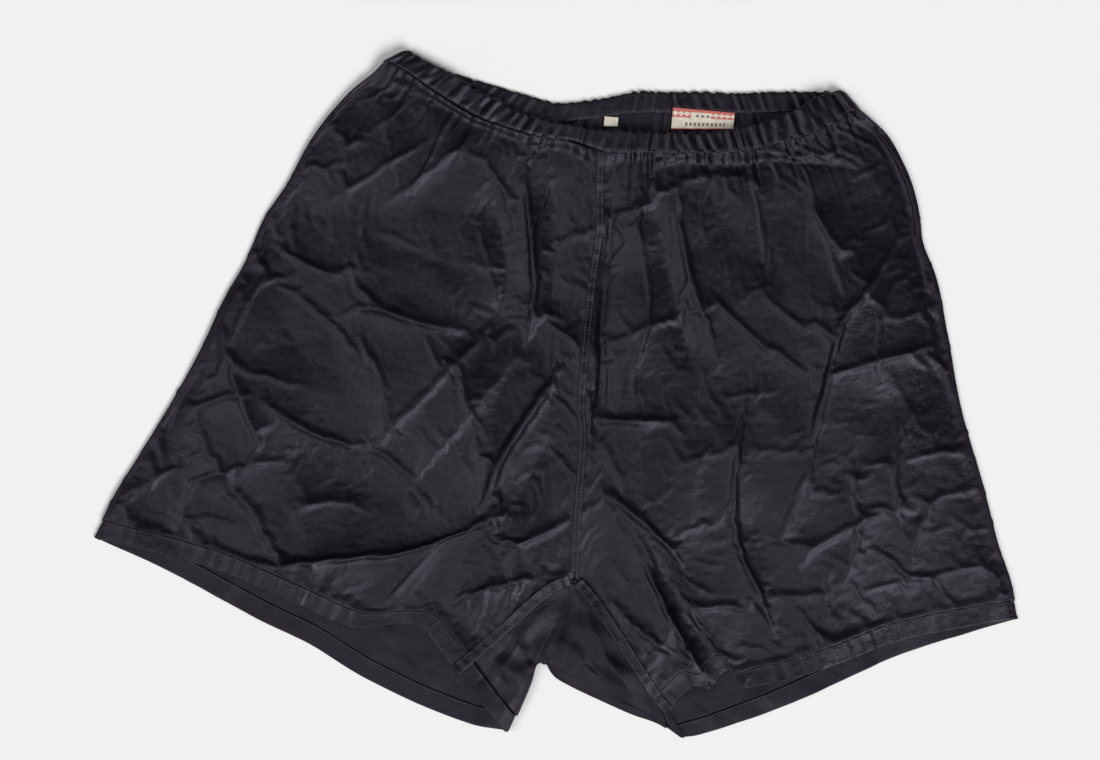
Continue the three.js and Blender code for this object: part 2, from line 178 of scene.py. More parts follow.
FRONT_HEMS = {
    "right": Line((-352, -135), (-298, -143), (-250, -153), (-192, -172), (-153, -185), (-126, -181), (-101, -180),
                  (-86, -193), (-70, -210)),
    "left": Line((352, -133), (316, -142), (261, -159), (225, -176), (185, -194), (168, -199), (152, -204),
                 (143, -197), (136, -192), (130, -198), (124, -207), (112, -206), (103, -214), (94, -226)),
}
BACK_HEMS = {
    "right": Line((-352, -135), (-308, -150), (-268, -166), (-222, -186), (-182, -201), (-142, -221), (-95, -239),
                  (-55, -250), (-26, -253)),
    "left": Line((352, -133), (316, -147), (266, -168), (227, -190), (186, -213), (150, -230), (118, -243),
                 (106, -246)),
}
FOLDS = {
    "right": Line((-2, -197), (-10, -200), (-13, -214), (-19, -233), (-26, -253)),
    "left": Line((-2, -197), (5, -206), (19, -213), (43, -222), (67, -230), (89, -236), (106, -246)),
}


# ---- Helpers for arrays ----

def smooth(x):
    """Smooth step from 0 to 1: 3x^2 - 2x^3."""
    x = np.clip(x, 0, 1)
    return x * x * (3 - 2 * x)


def mix(a, b, t):
    return a + (b - a) * t


def unit(vectors):
    return vectors / np.maximum(np.linalg.norm(vectors, axis=-1, keepdims=True), 1e-9)


def raised(xy, z):
    return np.concatenate([xy, np.broadcast_to(z, xy.shape[:-1])[..., None]], -1)


def wander(seed, low, high, pitch, spread=0.45):
    """A wavy line: values -1..1 at knots about one pitch apart, joined by smooth steps."""
    rng = np.random.default_rng(seed)
    steps = pitch * (1 + spread * rng.uniform(-1, 1, int((high - low) / pitch * 1.6) + 8))
    knots = low + np.cumsum(steps) - pitch
    values = np.where(np.arange(len(knots)) % 2, 1.0, -1.0) * rng.uniform(0.35, 1.0, len(knots))

    def read(x):
        i = np.clip(np.searchsorted(knots, x) - 1, 0, len(knots) - 2)
        return mix(values[i], values[i + 1], smooth((x - knots[i]) / (knots[i + 1] - knots[i])))
    return read


def clouds(seed, xy, scale, stretch=1.0, turn=0.0):
    """Smooth noise, about -1..1: random values on a square lattice of the given scale, blended by smooth steps."""
    lattice = np.random.default_rng(seed).uniform(-1, 1, (97, 89))
    c, s = math.cos(turn), math.sin(turn)
    x = (xy[..., 0] * c + xy[..., 1] * s) / (scale * stretch) + 40.37
    y = (xy[..., 1] * c - xy[..., 0] * s) / scale + 40.71
    i, j = np.floor(x).astype(int), np.floor(y).astype(int)
    a, b = smooth(x - i), smooth(y - j)

    def value(di, dj):
        return lattice[(i + di) % 97, (j + dj) % 89]
    return mix(mix(value(0, 0), value(1, 0), a), mix(value(0, 1), value(1, 1), a), b)


def patch(top, bottom, start, end, u, v):
    """Coons patch: the two ruled surfaces between opposite edges, less the one between the four corners.
    top and bottom hold a point for each u, start and end one for each v."""
    u, v = u[None, :, None], v[:, None, None]
    rows = top[None] * (1 - v) + bottom[None] * v
    columns = start[:, None] * (1 - u) + end[:, None] * u
    corners = (top[0] * (1 - u) + top[-1] * u) * (1 - v) + (bottom[0] * (1 - u) + bottom[-1] * u) * v
    return rows + columns - corners


# ---- Height of the front over the table ----

# Listed folds: points, height, width on the left of the direction, width on the right
FRONT_FOLDS = [
    # wearer's right half
    (((-87, 199), (-123, 164), (-163, 129)), 2.2, 8, 16),
    (((-104, 204), (-158, 164), (-214, 124)), 1.8, 10, 12),
    (((-140, 214), (-172, 190), (-196, 168)), 1.4, 7, 9),
    (((-170, 112), (-129, 101), (-84, 90)), -2.0, 14, 18),
    (((-186, 47), (-156, 57), (-118, 49), (-76, 48)), 2.2, 12, 4),
    (((-60, 62), (-97, 13), (-166, -68)), 2.4, 12, 5),
    (((-40, 40), (-80, -20), (-122, -78)), 1.6, 7, 9),
    (((-84, 178), (-68, 130), (-58, 83), (-77, 6)), -4.2, 9, 12),
    (((-52, 178), (-44, 130), (-36, 80), (-40, 30)), 3.2, 9, 6),
    (((-30, 180), (-26, 120), (-20, 60)), -2.8, 7, 6),
    (((-8, 30), (-45, -38), (-64, -87)), 3.2, 10, 5),
    (((-10, -20), (-30, -70), (-38, -110)), -1.6, 8, 8),
    (((-250, -156), (-180, -136), (-112, -123), (-50, -92), (-4, -86)), 2.2, 6, 11),
    (((-136, -176), (-108, -140), (-88, -108)), 1.8, 6, 9),
    (((-292, -90), (-250, -74), (-216, -62)), 1.6, 9, 7),
    (((-304, -36), (-268, -22), (-234, -13)), 1.4, 8, 10),
    (((-240, -14), (-196, -40), (-150, -48)), 1.8, 10, 6),
    (((-88, -163), (-50, -146), (-9, -132)), 2.4, 5, 7),
    (((-200, 0), (-176, -60), (-160, -110)), -1.4, 16, 12),
    (((-236, 100), (-206, 84), (-180, 78)), 1.3, 7, 9),
    (((-150, 20), (-140, -20), (-120, -40)), 1.0, 12, 9),
    (((-232, 50), (-206, 20), (-196, -10)), -1.1, 10, 10),
    (((-270, 20), (-246, 2), (-206, -4)), 1.2, 6, 9),
    (((-210, -100), (-170, -90), (-140, -96)), 1.4, 7, 7),
    (((-300, -120), (-262, -112), (-230, -120)), 1.0, 7, 8),
    # cloth turned up from the back, between the legs
    (((13, -124), (12, -150), (7, -188)), -2.4, 3, 3),
    (((-24, -176), (-15, -190), (-9, -202)), -2.0, 3, 4),
    (((-2, -148), (-26, -190), (-46, -224)), 1.6, 5, 3),
    (((-2, -168), (-16, -212), (-36, -246)), 1.3, 4, 6),
    (((-34, -186), (-34, -214), (-24, -240)), -1.2, 5, 4),
    (((-20, -168), (-44, -206), (-52, -232)), -1.1, 4, 4),
    (((20, -144), (40, -184), (72, -224)), 1.7, 3, 5),
    (((12, -164), (34, -198), (64, -222)), -1.5, 4, 3),
    (((8, -188), (40, -206), (84, -232)), 1.3, 4, 5),
    # wearer's left half
    (((14, 186), (18, 125), (17, 79), (21, 3), (20, -60)), -4.4, 7, 4),
    (((34, 180), (40, 130), (52, 80), (46, 20)), 1.8, 8, 8),
    (((44, 170), (54, 135), (80, 58), (94, 22)), -3.4, 6, 10),
    (((60, 170), (72, 128), (98, 62), (112, 30)), 2.0, 10, 12),
    (((43, 178), (102, 190), (160, 196), (214, 196)), -2.2, 5, 9),
    (((60, 172), (94, 180), (140, 178)), 1.8, 7, 18),
    (((163, 165), (182, 144), (197, 122)), 2.0, 9, 5),
    (((237, 151), (212, 100), (197, 77), (186, -3), (184, -40)), 2.6, 16, 7),
    (((132, 24), (128, -40), (134, -90), (152, -128), (177, -176)), 2.8, 5, 12),
    (((184, -24), (172, -70), (160, -108)), 2.0, 10, 6),
    (((180, 32), (230, 54), (277, 71)), 1.9, 8, 9),
    (((17, -48), (52, -92), (85, -129), (137, -192)), 1.9, 7, 5),
    (((16, -11), (44, -10), (78, -7)), 1.6, 3, 3),
    (((30, -60), (70, -92), (100, -118)), 1.5, 5, 6),
    (((58, -104), (92, -160), (109, -185), (126, -208)), 3.6, 3, 12),
    (((66, -104), (104, -155), (128, -188)), -2.8, 5, 6),
    (((33, -139), (61, -163), (91, -182), (105, -187)), 1.6, 3, 5),
    (((110, -6), (96, -60), (104, -110)), 1.5, 7, 8),
    (((214, -20), (224, -80), (214, -130)), 1.8, 12, 8),
    (((258, 30), (248, -30), (262, -90)), 1.3, 9, 9),
    (((290, -30), (268, -80), (272, -126)), 1.5, 8, 12),
    (((236, 120), (226, 70), (236, 20)), 1.2, 8, 8),
    (((120, 120), (146, 86), (182, 66)), 1.2, 10, 10),
    (((92, 96), (130, 62), (176, 40)), 1.0, 9, 8),
    (((244, -60), (204, -84), (178, -112)), 1.1, 7, 9),
]


def fold(xy, points, height, left, right):
    """One crease: the height falls off as exp(-distance / width), with its own width on each side,
    a slightly rounded crest, and ends that fade out over a quarter of the length."""
    apart, side, share = Line(*points).near(xy)
    width = np.where(side > 0, left, right)
    soft = 0.7
    ends = smooth(share / 0.3) * smooth((1 - share) / 0.3)
    return height * ends * np.exp(-(np.sqrt(apart ** 2 + soft ** 2) - soft) / width)


def facets(xy, seed, count, scale, depth):
    """Flat faces that meet at straight creases: a mean of triangle waves, each along its own direction, on a
    plane that slow noise has bent."""
    rng = np.random.default_rng(seed)
    bent = xy + 0.34 * scale * np.stack([clouds(seed + 1, xy, scale * 1.7), clouds(seed + 2, xy, scale * 1.7)], -1)
    total = np.zeros(xy.shape[:-1])
    for _ in range(count):
        angle, phase, size = rng.uniform(0, math.pi), rng.uniform(0, 1), scale * rng.uniform(0.7, 1.5)
        wave = (bent[..., 0] * math.cos(angle) + bent[..., 1] * math.sin(angle)) / size + phase
        total += 1 - 4 * np.abs(wave - np.floor(wave) - 0.5)
    return depth * total / count ** 0.5


def scattered(xy, seed, count, strength, fineness=1.0):
    """Many short straight creases of random place, turned mostly along the pull from waist to hem."""
    rng = np.random.default_rng(seed)
    total = np.zeros(xy.shape[:-1])
    for _ in range(count):
        centre = np.array([rng.uniform(-330, 330), rng.uniform(-220, 190)])
        pull = math.atan2(centre[1] - 330, centre[0] - 15)
        angle = pull + rng.normal(0, 0.6)
        half = rng.uniform(12, 60)
        along = np.array([math.cos(angle), math.sin(angle)])
        off = xy - centre
        t = (off @ along) / half
        d = off[..., 0] * along[1] - off[..., 1] * along[0] + 0.06 * half * rng.normal() * (t ** 2 - 1)
        width = fineness * rng.uniform(2.2, 7) * np.where(d > 0, rng.uniform(0.6, 1.8), 1.0)
        height = strength * rng.uniform(0.25, 1.0) * rng.choice([1, 1, -1])
        total += height * np.exp(-(np.sqrt(d ** 2 + 0.5) - 0.7) / width) * np.clip(1 - t ** 2, 0, 1) ** 1.5
    return total


GATHER_WAVE = wander(3, -180, 220, 3.7, 0.6)
GATHER_CLUSTER = wander(5, -180, 220, 17, 0.6)
GATHER_FADE = wander(4, -180, 220, 7)


def gather_line(x):
    """Gathers along the waist, -1..1: broad ridges, narrow grooves, deep in some places and shallow in others."""
    ridges = 1 - 2 * ((1 - GATHER_WAVE(x)) / 2) ** 1.8
    return ridges * (0.62 + 0.38 * GATHER_CLUSTER(x))


def gathers(xy, low):
    """Ridges that start at the casing, fan out below it and die away, each over its own length.
    Where a ridge runs is told by the place where it meets the casing."""
    middle = 15
    meet = xy[..., 0]
    for _ in range(3):
        drop = np.maximum(np.interp(meet, low[:, 0], low[:, 1]) - xy[..., 1], 0)
        meet = middle + (xy[..., 0] - middle) / (1 + 0.94 * drop / 320)
    reach = 15 + 10 * GATHER_FADE(meet)
    sharp = np.exp(-drop / reach)
    broad = wander(6, -180, 220, 8)(meet) * np.exp(-drop / (45 + 30 * wander(7, -180, 220, 19)(meet)))
    return gather_line(meet) * sharp, broad


def loft(xy):
    """Height of the middle of the front cloth without creases: it rises from the side edges over about 20 mm,
    is highest at the body and lower towards the leg openings."""
    sizes = bpy.context.scene.shorts_sizes
    apart = np.minimum(SIDES["right"].near(xy)[0], SIDES["left"].near(xy)[0])
    body = sizes.loft / MM * mix(1.0, 0.74, smooth((-xy[..., 1] - 20) / 160))
    edge = mix(2.2, 5.5, smooth((xy[..., 1] - 100) / 130))
    rise = 1 - np.exp(-apart / 17)
    inner = np.minimum(FOLDS["right"].near(xy)[0], FOLDS["left"].near(xy)[0])
    low = np.exp(-inner / 14) * smooth((-xy[..., 1] - 150) / 40)
    return mix(edge, body, rise) * (1 - 0.45 * low)


def front_height(xy):
    """Height of the front where it is held: the coarse shape with the fine one on it."""
    return coarse_height(xy) + fine_height(xy)


def broad_waves(xy):
    """Slow waves and large flat faces."""
    return 2.8 * clouds(41, xy, 80) + facets(xy, 11, 4, 96, 2.2) + facets(xy, 12, 4, 50, 0.6)


def laid_folds(xy):
    """All the listed folds."""
    total = np.zeros(xy.shape[:-1])
    for points, height, left, right in FRONT_FOLDS:
        total += 1.6 * fold(xy, points, height, 1.2 * left, 1.5 * right)
    return total


def casing_level(xy):
    """Height of the middle of the front casing."""
    return loft(xy) + 1.1 * clouds(41, xy, 70) + 1.3


def coarse_height(xy):
    """Loft, laid folds, flat facets, scattered creases, slow waves and wide gathers added together."""
    crumple = bpy.context.scene.shorts_sizes.crumple
    total = laid_folds(xy) + broad_waves(xy) + crumple * scattered(xy, 31, 90, 0.8, 1.5)
    total += 1.4 * gathers(xy, FRONT_LOW.points)[1]
    apart = np.minimum(SIDES["right"].near(xy)[0], SIDES["left"].near(xy)[0])
    total *= 0.25 + 0.75 * smooth(apart / 22)
    height = loft(xy) + total
    drop = np.maximum(np.interp(xy[..., 0], FRONT_LOW.points[:, 0], FRONT_LOW.points[:, 1]) - xy[..., 1], 0)
    height = mix(height, casing_level(xy) + 0.5, np.exp(-(drop / 11) ** 2))
    floor = 2.4
    return floor + np.logaddexp(0, (height - floor) / 0.8) * 0.8


def fine_height(xy):
    """Narrow gathers under the casing and a fine crumple everywhere."""
    sizes = bpy.context.scene.shorts_sizes
    crumple = sizes.crumple * (facets(xy, 21, 4, 26, 0.16) + facets(xy, 22, 4, 11, 0.05))
    for points, height, _, _ in FRONT_FOLDS:
        crumple += fold(xy, points, 0.12 * height, 1.8, 2.6)
    crumple += scattered(xy, 32, 110, 0.2, 0.35)
    return sizes.gather_depth / MM * gathers(xy, FRONT_LOW.points)[0] + crumple + 0.15 * clouds(42, xy, 14)


def back_height(xy):
    """The back lies on the table: only creases that stand up from it show."""
    lift = facets(xy, 51, 4, 46, 1.2) + facets(xy, 52, 4, 19, 0.35) + scattered(xy + 7, 61, 160, 1.3, 1.3)
    lift += clouds(62, xy, 40)
    sharp, broad = gathers(xy, BACK_LOW.points[::-1])
    lift = lift + 1.1 * sharp + 0.8 * broad
    return 0.55 + np.logaddexp(0, lift / 0.5) * 0.5


# ---- Meshes ----

def make_mesh(name, points, faces, uv, material, smooth_faces=True):
    """A mesh object at the origin from points in millimetres; uv holds one pair for each point, in metres."""
    mesh = bpy.data.meshes.new(name)
    mesh.from_pydata(np.asarray(points) * MM, [], faces)
    layer = mesh.uv_layers.new(name="cloth")
    corner = np.zeros(len(mesh.loops), int)
    mesh.loops.foreach_get("vertex_index", corner)
    layer.data.foreach_set("uv", uv.reshape(-1, 2)[corner].astype(np.float32).ravel())
    mesh.polygons.foreach_set("use_smooth", np.full(len(mesh.polygons), smooth_faces))
    mesh.update()
    piece = bpy.data.objects.new(name, mesh)
    bpy.context.scene.collection.objects.link(piece)
    mesh.materials.append(material)
    return piece


def quads(rows, columns, wrap_rows=False, wrap_columns=False, base=0):
    """Corner numbers of the cells of a lattice of points, row after row."""
    i = np.arange(rows if wrap_rows else rows - 1)
    j = np.arange(columns if wrap_columns else columns - 1)
    i, j = np.meshgrid(i, j, indexing="ij")
    i2, j2 = (i + 1) % rows, (j + 1) % columns
    cells = np.stack([i * columns + j, i * columns + j2, i2 * columns + j2, i2 * columns + j], -1)
    return base + cells.reshape(-1, 4)


def sheet_piece(name, surface, uv, material, flip=False):
    """An open lattice of points, rows by columns, as one sheet. flip turns its faces over."""
    rows, columns = surface.shape[:2]
    faces = quads(rows, columns)
    if flip:
        faces = faces[:, ::-1]
    return make_mesh(name, surface.reshape(-1, 3), faces.tolist(), uv, material)


def thicken(piece, thickness, offset=-1.0):
    """Give a sheet its wall: below its surface at offset -1, half to each side at offset 0."""
    wall = piece.modifiers.new("wall", "SOLIDIFY")
    wall.thickness = thickness
    wall.offset = offset
    return piece


def band_profile(face, arc, end):
    """A flat closed profile, across 0..1 and up -1..1: two straight faces and two half-round ends whose
    depth is the share end of the width."""
    run = np.linspace(end, 1 - end, face)
    turn = np.linspace(math.pi / 2, -math.pi / 2, arc + 2)[1:-1]
    across = np.r_[run, 1 - end + end * np.cos(turn), run[::-1], end - end * np.cos(turn)]
    up = np.r_[np.ones(face), np.sin(turn), -np.ones(face), -np.sin(turn)]
    return across, up


def band_piece(name, outer, inner, up, half, material, closed=False, face=12, arc=4, relief=None):
    """A flat closed band: between the point rows outer and inner, half thick to each side along up.
    relief(across) gives a height for each station and place across, by which the whole band is shifted."""
    width = float(np.linalg.norm(outer - inner, axis=1).mean())
    across, rise = band_profile(face, arc, min(0.3, 0.9 * np.mean(half) / width))
    half = np.broadcast_to(half, (len(outer),))[:, None]
    shift = half * rise[None]
    if relief is not None:
        shift = shift + relief(across[None])
    points = outer[:, None] + (inner - outer)[:, None] * across[None, :, None] + up[:, None] * shift[..., None]
    stations, count = shift.shape
    faces = quads(stations, count, wrap_rows=closed, wrap_columns=True).tolist()
    if not closed:
        faces.append(list(range(count)))
        faces.append(list(range((stations - 1) * count, stations * count))[::-1])
    run = np.r_[0, np.cumsum(np.linalg.norm(np.diff((outer + inner) / 2, axis=0), axis=1))]
    uv = np.stack(np.broadcast_arrays(run[:, None], width * across[None] + 40 * (rise < 0)), -1) * MM
    side = np.cross(np.gradient((outer + inner) / 2, axis=0), inner - outer)
    if np.sum(side * up) > 0:
        faces = [cell[::-1] for cell in faces]
    return make_mesh(name, points.reshape(-1, 3), faces, uv, material)


def stitch_row(path, up, length, gap, radius):
    """Lock stitches along a path: each is a capsule, its radius falling to nothing at both ends like the square
    root of 1 - t^4, half sunk in the cloth. Returns points and faces."""
    reach = np.r_[0, np.cumsum(np.linalg.norm(np.diff(path, axis=0), axis=1))]
    count = int(reach[-1] / (length + gap))
    starts = (np.arange(count) + 0.5) * reach[-1] / count
    rings, sides = 5, 5
    t = np.linspace(-1, 1, rings)
    s = starts[:, None] + t[None] * length / 2
    centre = np.stack([np.interp(s, reach, path[:, i]) for i in range(3)], -1)
    lift = unit(np.stack([np.interp(s, reach, up[:, i]) for i in range(3)], -1))
    along = unit(np.gradient(centre, axis=1))
    side = unit(np.cross(along, lift))
    swell = radius * np.sqrt(np.clip(1.02 - t ** 4, 0, 1))[None, :, None, None]
    angle = np.linspace(0, 2 * math.pi, sides, endpoint=False)[None, None, :, None]
    points = centre[:, :, None] + swell * (np.cos(angle) * side[:, :, None] + np.sin(angle) * lift[:, :, None])
    cells = quads(rings, sides, wrap_columns=True).tolist()
    cells.append(list(range(sides))[::-1])
    cells.append(list(range((rings - 1) * sides, rings * sides)))
    size = rings * sides
    faces = [[c + k * size for c in cell] for k in range(count) for cell in cells]
    return points.reshape(-1, 3), faces


def stitches(name, rows, material, radius=0.22):
    """All rows of one seam as one piece of thread."""
    sizes = bpy.context.scene.shorts_sizes
    points, faces, base = [], [], 0
    for path, up in rows:
        p, f = stitch_row(path, up, sizes.stitch / MM * 0.72, sizes.stitch / MM * 0.28, radius)
        points.append(p)
        faces.extend([[c + base for c in cell] for cell in f])
        base += len(p)
    points = np.vstack(points)
    return make_mesh(name, points, faces, points[:, :2] * MM, material)


# ---- Materials ----

class Value:
    """A number socket that takes part in Python sums: each sum adds a Math node."""

    def __init__(self, nodes, socket):
        self.nodes, self.socket = nodes, socket

    def _sum(self, operation, first, second):
        return self.nodes.add("ShaderNodeMath", {"operation": operation}, {0: first, 1: second})

    def __add__(self, other):
        return self._sum("ADD", self, other)

    def __mul__(self, other):
        return self._sum("MULTIPLY", self, other)

    def __sub__(self, other):
        return self._sum("SUBTRACT", self, other)

    def __rsub__(self, other):
        return self._sum("SUBTRACT", other, self)

    __radd__ = __add__
    __rmul__ = __mul__

    def over(self, level):
        return self._sum("GREATER_THAN", self, level)

    def under(self, level):
        return self._sum("LESS_THAN", self, level)

    def fold(self, size):
        return self._sum("PINGPONG", self, size)

    def between(self, low, high):
        return self.nodes.add("ShaderNodeMapRange", {"interpolation_type": "SMOOTHSTEP"},
                              {"Value": self, "From Min": low, "From Max": high, "To Min": 0.0, "To Max": 1.0})


class Nodes:
    """A material's node tree, filled one node at a time."""

    def __init__(self, name, fallback):
        self.material = bpy.data.materials.new(name)
        self.material.use_nodes = True
        self.material.diffuse_color = (*fallback, 1)
        self.tree = self.material.node_tree
        self.shader = self.tree.nodes["Principled BSDF"]

    def node(self, kind, settings=None, sockets=None):
        node = self.tree.nodes.new(kind)
        for key, value in (settings or {}).items():
            setattr(node, key, value)
        self.fill(node, sockets or {})
        return node

    def fill(self, node, sockets):
        for key, value in sockets.items():
            if isinstance(value, Value):
                self.tree.links.new(value.socket, node.inputs[key])
            elif isinstance(value, bpy.types.NodeSocket):
                self.tree.links.new(value, node.inputs[key])
            else:
                node.inputs[key].default_value = value

    def add(self, kind, settings=None, sockets=None, output=0):
        return Value(self, self.node(kind, settings, sockets).outputs[output])

    def noise(self, vector, scale, detail=2.0, rough=0.5):
        return self.add("ShaderNodeTexNoise", None, {"Vector": vector, "Scale": scale, "Detail": detail,
                                                     "Roughness": rough}, output="Fac")

    def scaled(self, vector, scale, turn=0.0):
        return self.node("ShaderNodeMapping", None, {"Vector": vector, "Scale": scale,
                                                     "Rotation": (0, 0, turn)}).outputs["Vector"]

    def blend(self, factor, first, second):
        node = self.node("ShaderNodeMix", {"data_type": "RGBA"}, {"Factor": factor})
        for key, value in (("A", first), ("B", second)):
            socket = [s for s in node.inputs if s.name == key and s.type == "RGBA"][0]
            if isinstance(value, bpy.types.NodeSocket):
                self.tree.links.new(value, socket)
            else:
                socket.default_value = (*value, 1)
        return [s for s in node.outputs if s.type == "RGBA"][0]

    def bump(self, height, distance, strength=1.0, normal=None):
        sockets = {"Height": height, "Distance": distance, "Strength": strength}
        if normal is not None:
            sockets["Normal"] = normal
        return self.node("ShaderNodeBump", None, sockets).outputs["Normal"]

    def cloth_uv(self):
        return self.node("ShaderNodeUVMap", {"uv_map": "cloth"}).outputs["UV"]

    def place(self):
        return self.node("ShaderNodeTexCoord").outputs["Object"]


def tone(colour, factor):
    return tuple(min(1.0, c * factor) for c in colour)


def sateen(name, dull=0.0):
    """Black cotton sateen: fine weave with uneven threads in both directions, soft wear and slow changes of
    colour and gloss."""
    colours = bpy.context.scene.shorts_colours
    base = tuple(colours.sateen)
    nodes = Nodes(name, base)
    uv, place = nodes.cloth_uv(), nodes.place()
    warp = nodes.noise(nodes.scaled(uv, (1500, 60, 1)), 1.0, 3)
    weft = nodes.noise(nodes.scaled(uv, (50, 1300, 1)), 1.0, 3)
    fine = nodes.noise(nodes.scaled(uv, (1400, 1400, 1)), 1.0, 1)
    slub = nodes.noise(nodes.scaled(uv, (520, 90, 1)), 1.0, 2)
    slow = nodes.noise(place, 9.0, 3)
    patchy = nodes.noise(place, 60.0, 4, 0.6)
    thread = warp * 0.4 + weft * 0.35 + slub * 0.25
    shade = (thread.between(0.36, 0.66) * 0.55 + slow.between(0.35, 0.68) * 0.25 + patchy.between(0.4, 0.7) * 0.3)
    colour = nodes.blend(shade, tone(base, 0.55), tone(base, 1.6))
    rough = 0.31 + dull + slow.between(0.35, 0.7) * 0.06 + thread.between(0.35, 0.7) * 0.13
    rough = rough + patchy.between(0.38, 0.7) * 0.09
    weave = nodes.bump(thread * 0.6 + fine * 0.4, 0.0004, 1.0)
    crushed = nodes.bump(nodes.noise(place, 230.0, 2, 0.5), 0.00025, 0.7, weave)
    soft = nodes.bump(patchy, 0.0014, 0.6, crushed)
    nodes.fill(nodes.shader, {"Base Color": colour, "Roughness": rough, "Normal": soft,
                              "Sheen Weight": 0.02, "Sheen Roughness": 0.35,
                              "Sheen Tint": (*tuple(colours.sheen), 1), "Specular IOR Level": 0.34,
                              "Specular Tint": (0.88, 0.80, 1.0, 1), "IOR": 1.5})
    return nodes.material


def thread_finish(name):
    """Twisted sewing thread: slanting fine ridges."""
    base = tuple(bpy.context.scene.shorts_colours.thread)
    nodes = Nodes(name, base)
    place = nodes.place()
    twist = nodes.noise(nodes.scaled(place, (2400, 2400, 2400), 0.6), 1.0, 2)
    nodes.fill(nodes.shader, {"Base Color": nodes.blend(twist, tone(base, 0.7), tone(base, 1.7)),
                              "Roughness": 0.62 + twist * 0.15, "Normal": nodes.bump(twist, 0.0001, 0.7),
                              "Sheen Weight": 0.02})
    return nodes.material


def elastic_finish(name):
    """Woven elastic tape: fine ribs across it."""
    base = tuple(bpy.context.scene.shorts_colours.elastic)
    nodes = Nodes(name, base)
    uv = nodes.cloth_uv()
    rib = nodes.noise(nodes.scaled(uv, (1800, 60, 1)), 1.0, 2)
    nodes.fill(nodes.shader, {"Base Color": nodes.blend(rib, tone(base, 0.75), tone(base, 1.2)),
                              "Roughness": 0.75 + rib * 0.1, "Normal": nodes.bump(rib, 0.0003, 0.8),
                              "Sheen Weight": 0.1})
    return nodes.material


def label_finish(name, pattern):
    """Off-white woven tape. With pattern it has a red woven border, a row of red lozenges and dark bars."""
    colours = bpy.context.scene.shorts_colours
    base, red = tuple(colours.label), tuple(colours.label_red)
    nodes = Nodes(name, base)
    uv = nodes.cloth_uv()
    warp = nodes.noise(nodes.scaled(uv, (2500, 300, 1)), 1.0, 2)
    weft = nodes.noise(nodes.scaled(uv, (300, 2500, 1)), 1.0, 2)
    soil = nodes.noise(uv, 160.0, 3)
    cloth = nodes.blend(soil.between(0.4, 0.75), tone(base, 1.05), tone(base, 0.78))
    if pattern:
        split = nodes.node("ShaderNodeSeparateXYZ", None, {"Vector": uv})
        across, up = Value(nodes, split.outputs["X"]), Value(nodes, split.outputs["Y"])
        width, height = LABEL_WIDTH * MM, LABEL_HEIGHT * MM
        edge_up = up.fold(height)
        frame_line = up.over(height - 0.0011) * 1.0 + up.under(0.0007) * 1.0
        tooth = across.fold(0.0022) + (up - (height - 0.0052)).fold(0.0026)
        lozenges = tooth.under(0.0024) * up.over(height - 0.0058) * edge_up.over(0)
        middle = across.under(width * 0.30) + across.over(width * 0.62)
        red_part = nodes.add("ShaderNodeMath", {"operation": "MINIMUM"}, {0: frame_line + lozenges * middle, 1: 1.0})
        bars = across.fold(0.0016).over(0.0006) * up.under(height * 0.36) * up.over(height * 0.17)
        inside = across.over(width * 0.2) * across.under(width * 0.86)
        dots = across.fold(0.0021).over(0.0009) * up.under(height * 0.80) * up.over(height * 0.66)
        centre = across.over(width * 0.36) * across.under(width * 0.60)
        dark = nodes.add("ShaderNodeMath", {"operation": "MINIMUM"}, {0: bars * inside + dots * centre, 1: 1.0})
        cloth = nodes.blend(red_part * 0.85, cloth, red)
        cloth = nodes.blend(dark * 0.8, cloth, (0.06, 0.05, 0.06))
    nodes.fill(nodes.shader, {"Roughness": 0.72 + warp * 0.12, "Base Color": cloth,
                              "Normal": nodes.bump(warp * 0.5 + weft * 0.5, 0.00015, 0.7), "Sheen Weight": 0.08})
    return nodes.material


def table_finish():
    base = tuple(bpy.context.scene.shorts_colours.table)
    nodes = Nodes("table_surface", base)
    grain = nodes.noise(nodes.place(), 3.0, 3)
    nodes.fill(nodes.shader, {"Base Color": nodes.blend(grain, tone(base, 0.985), tone(base, 1.01)),
                              "Roughness": 0.6 + grain * 0.1, "Specular IOR Level": 0.2})
    return nodes.material


def finish(name, make, *settings):
    """The material of that name, made the first time it is asked for."""
    return bpy.data.materials.get(name) or make(name, *settings)


def sateen_outside():
    return finish("sateen_outside", sateen)


def sateen_inside():
    return finish("sateen_inside", sateen, 0.12)


def sewn(piece, node, body=GARMENT):
    """The piece rides on its body and stands for the CAD node, which it hides."""
    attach(piece, body)
    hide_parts(node)
    return piece


# ---- Shape of each leg ----

STITCH_IN = 1.4      # from the edge of a band to its stitches
LEG_SHARE = 0.76     # share of the rows above the crotch


def leg_up(line):
    """Direction up a line from its lower end."""
    return -line.heading(1.0)


def band_inner(outer, width, first, last):
    """The inner edge of a turned hem: the outer edge moved along a direction that goes from first to last."""
    t = np.linspace(0, 1, len(outer))[:, None]
    return outer + width * unit(mix(first, last, t))


def closed_by(edge, first, last):
    """The edge, shifted evenly so that it starts and ends on the given corners."""
    t = np.linspace(0, 1, len(edge))[:, None]
    return edge + mix(first - edge[0], last - edge[-1], t)


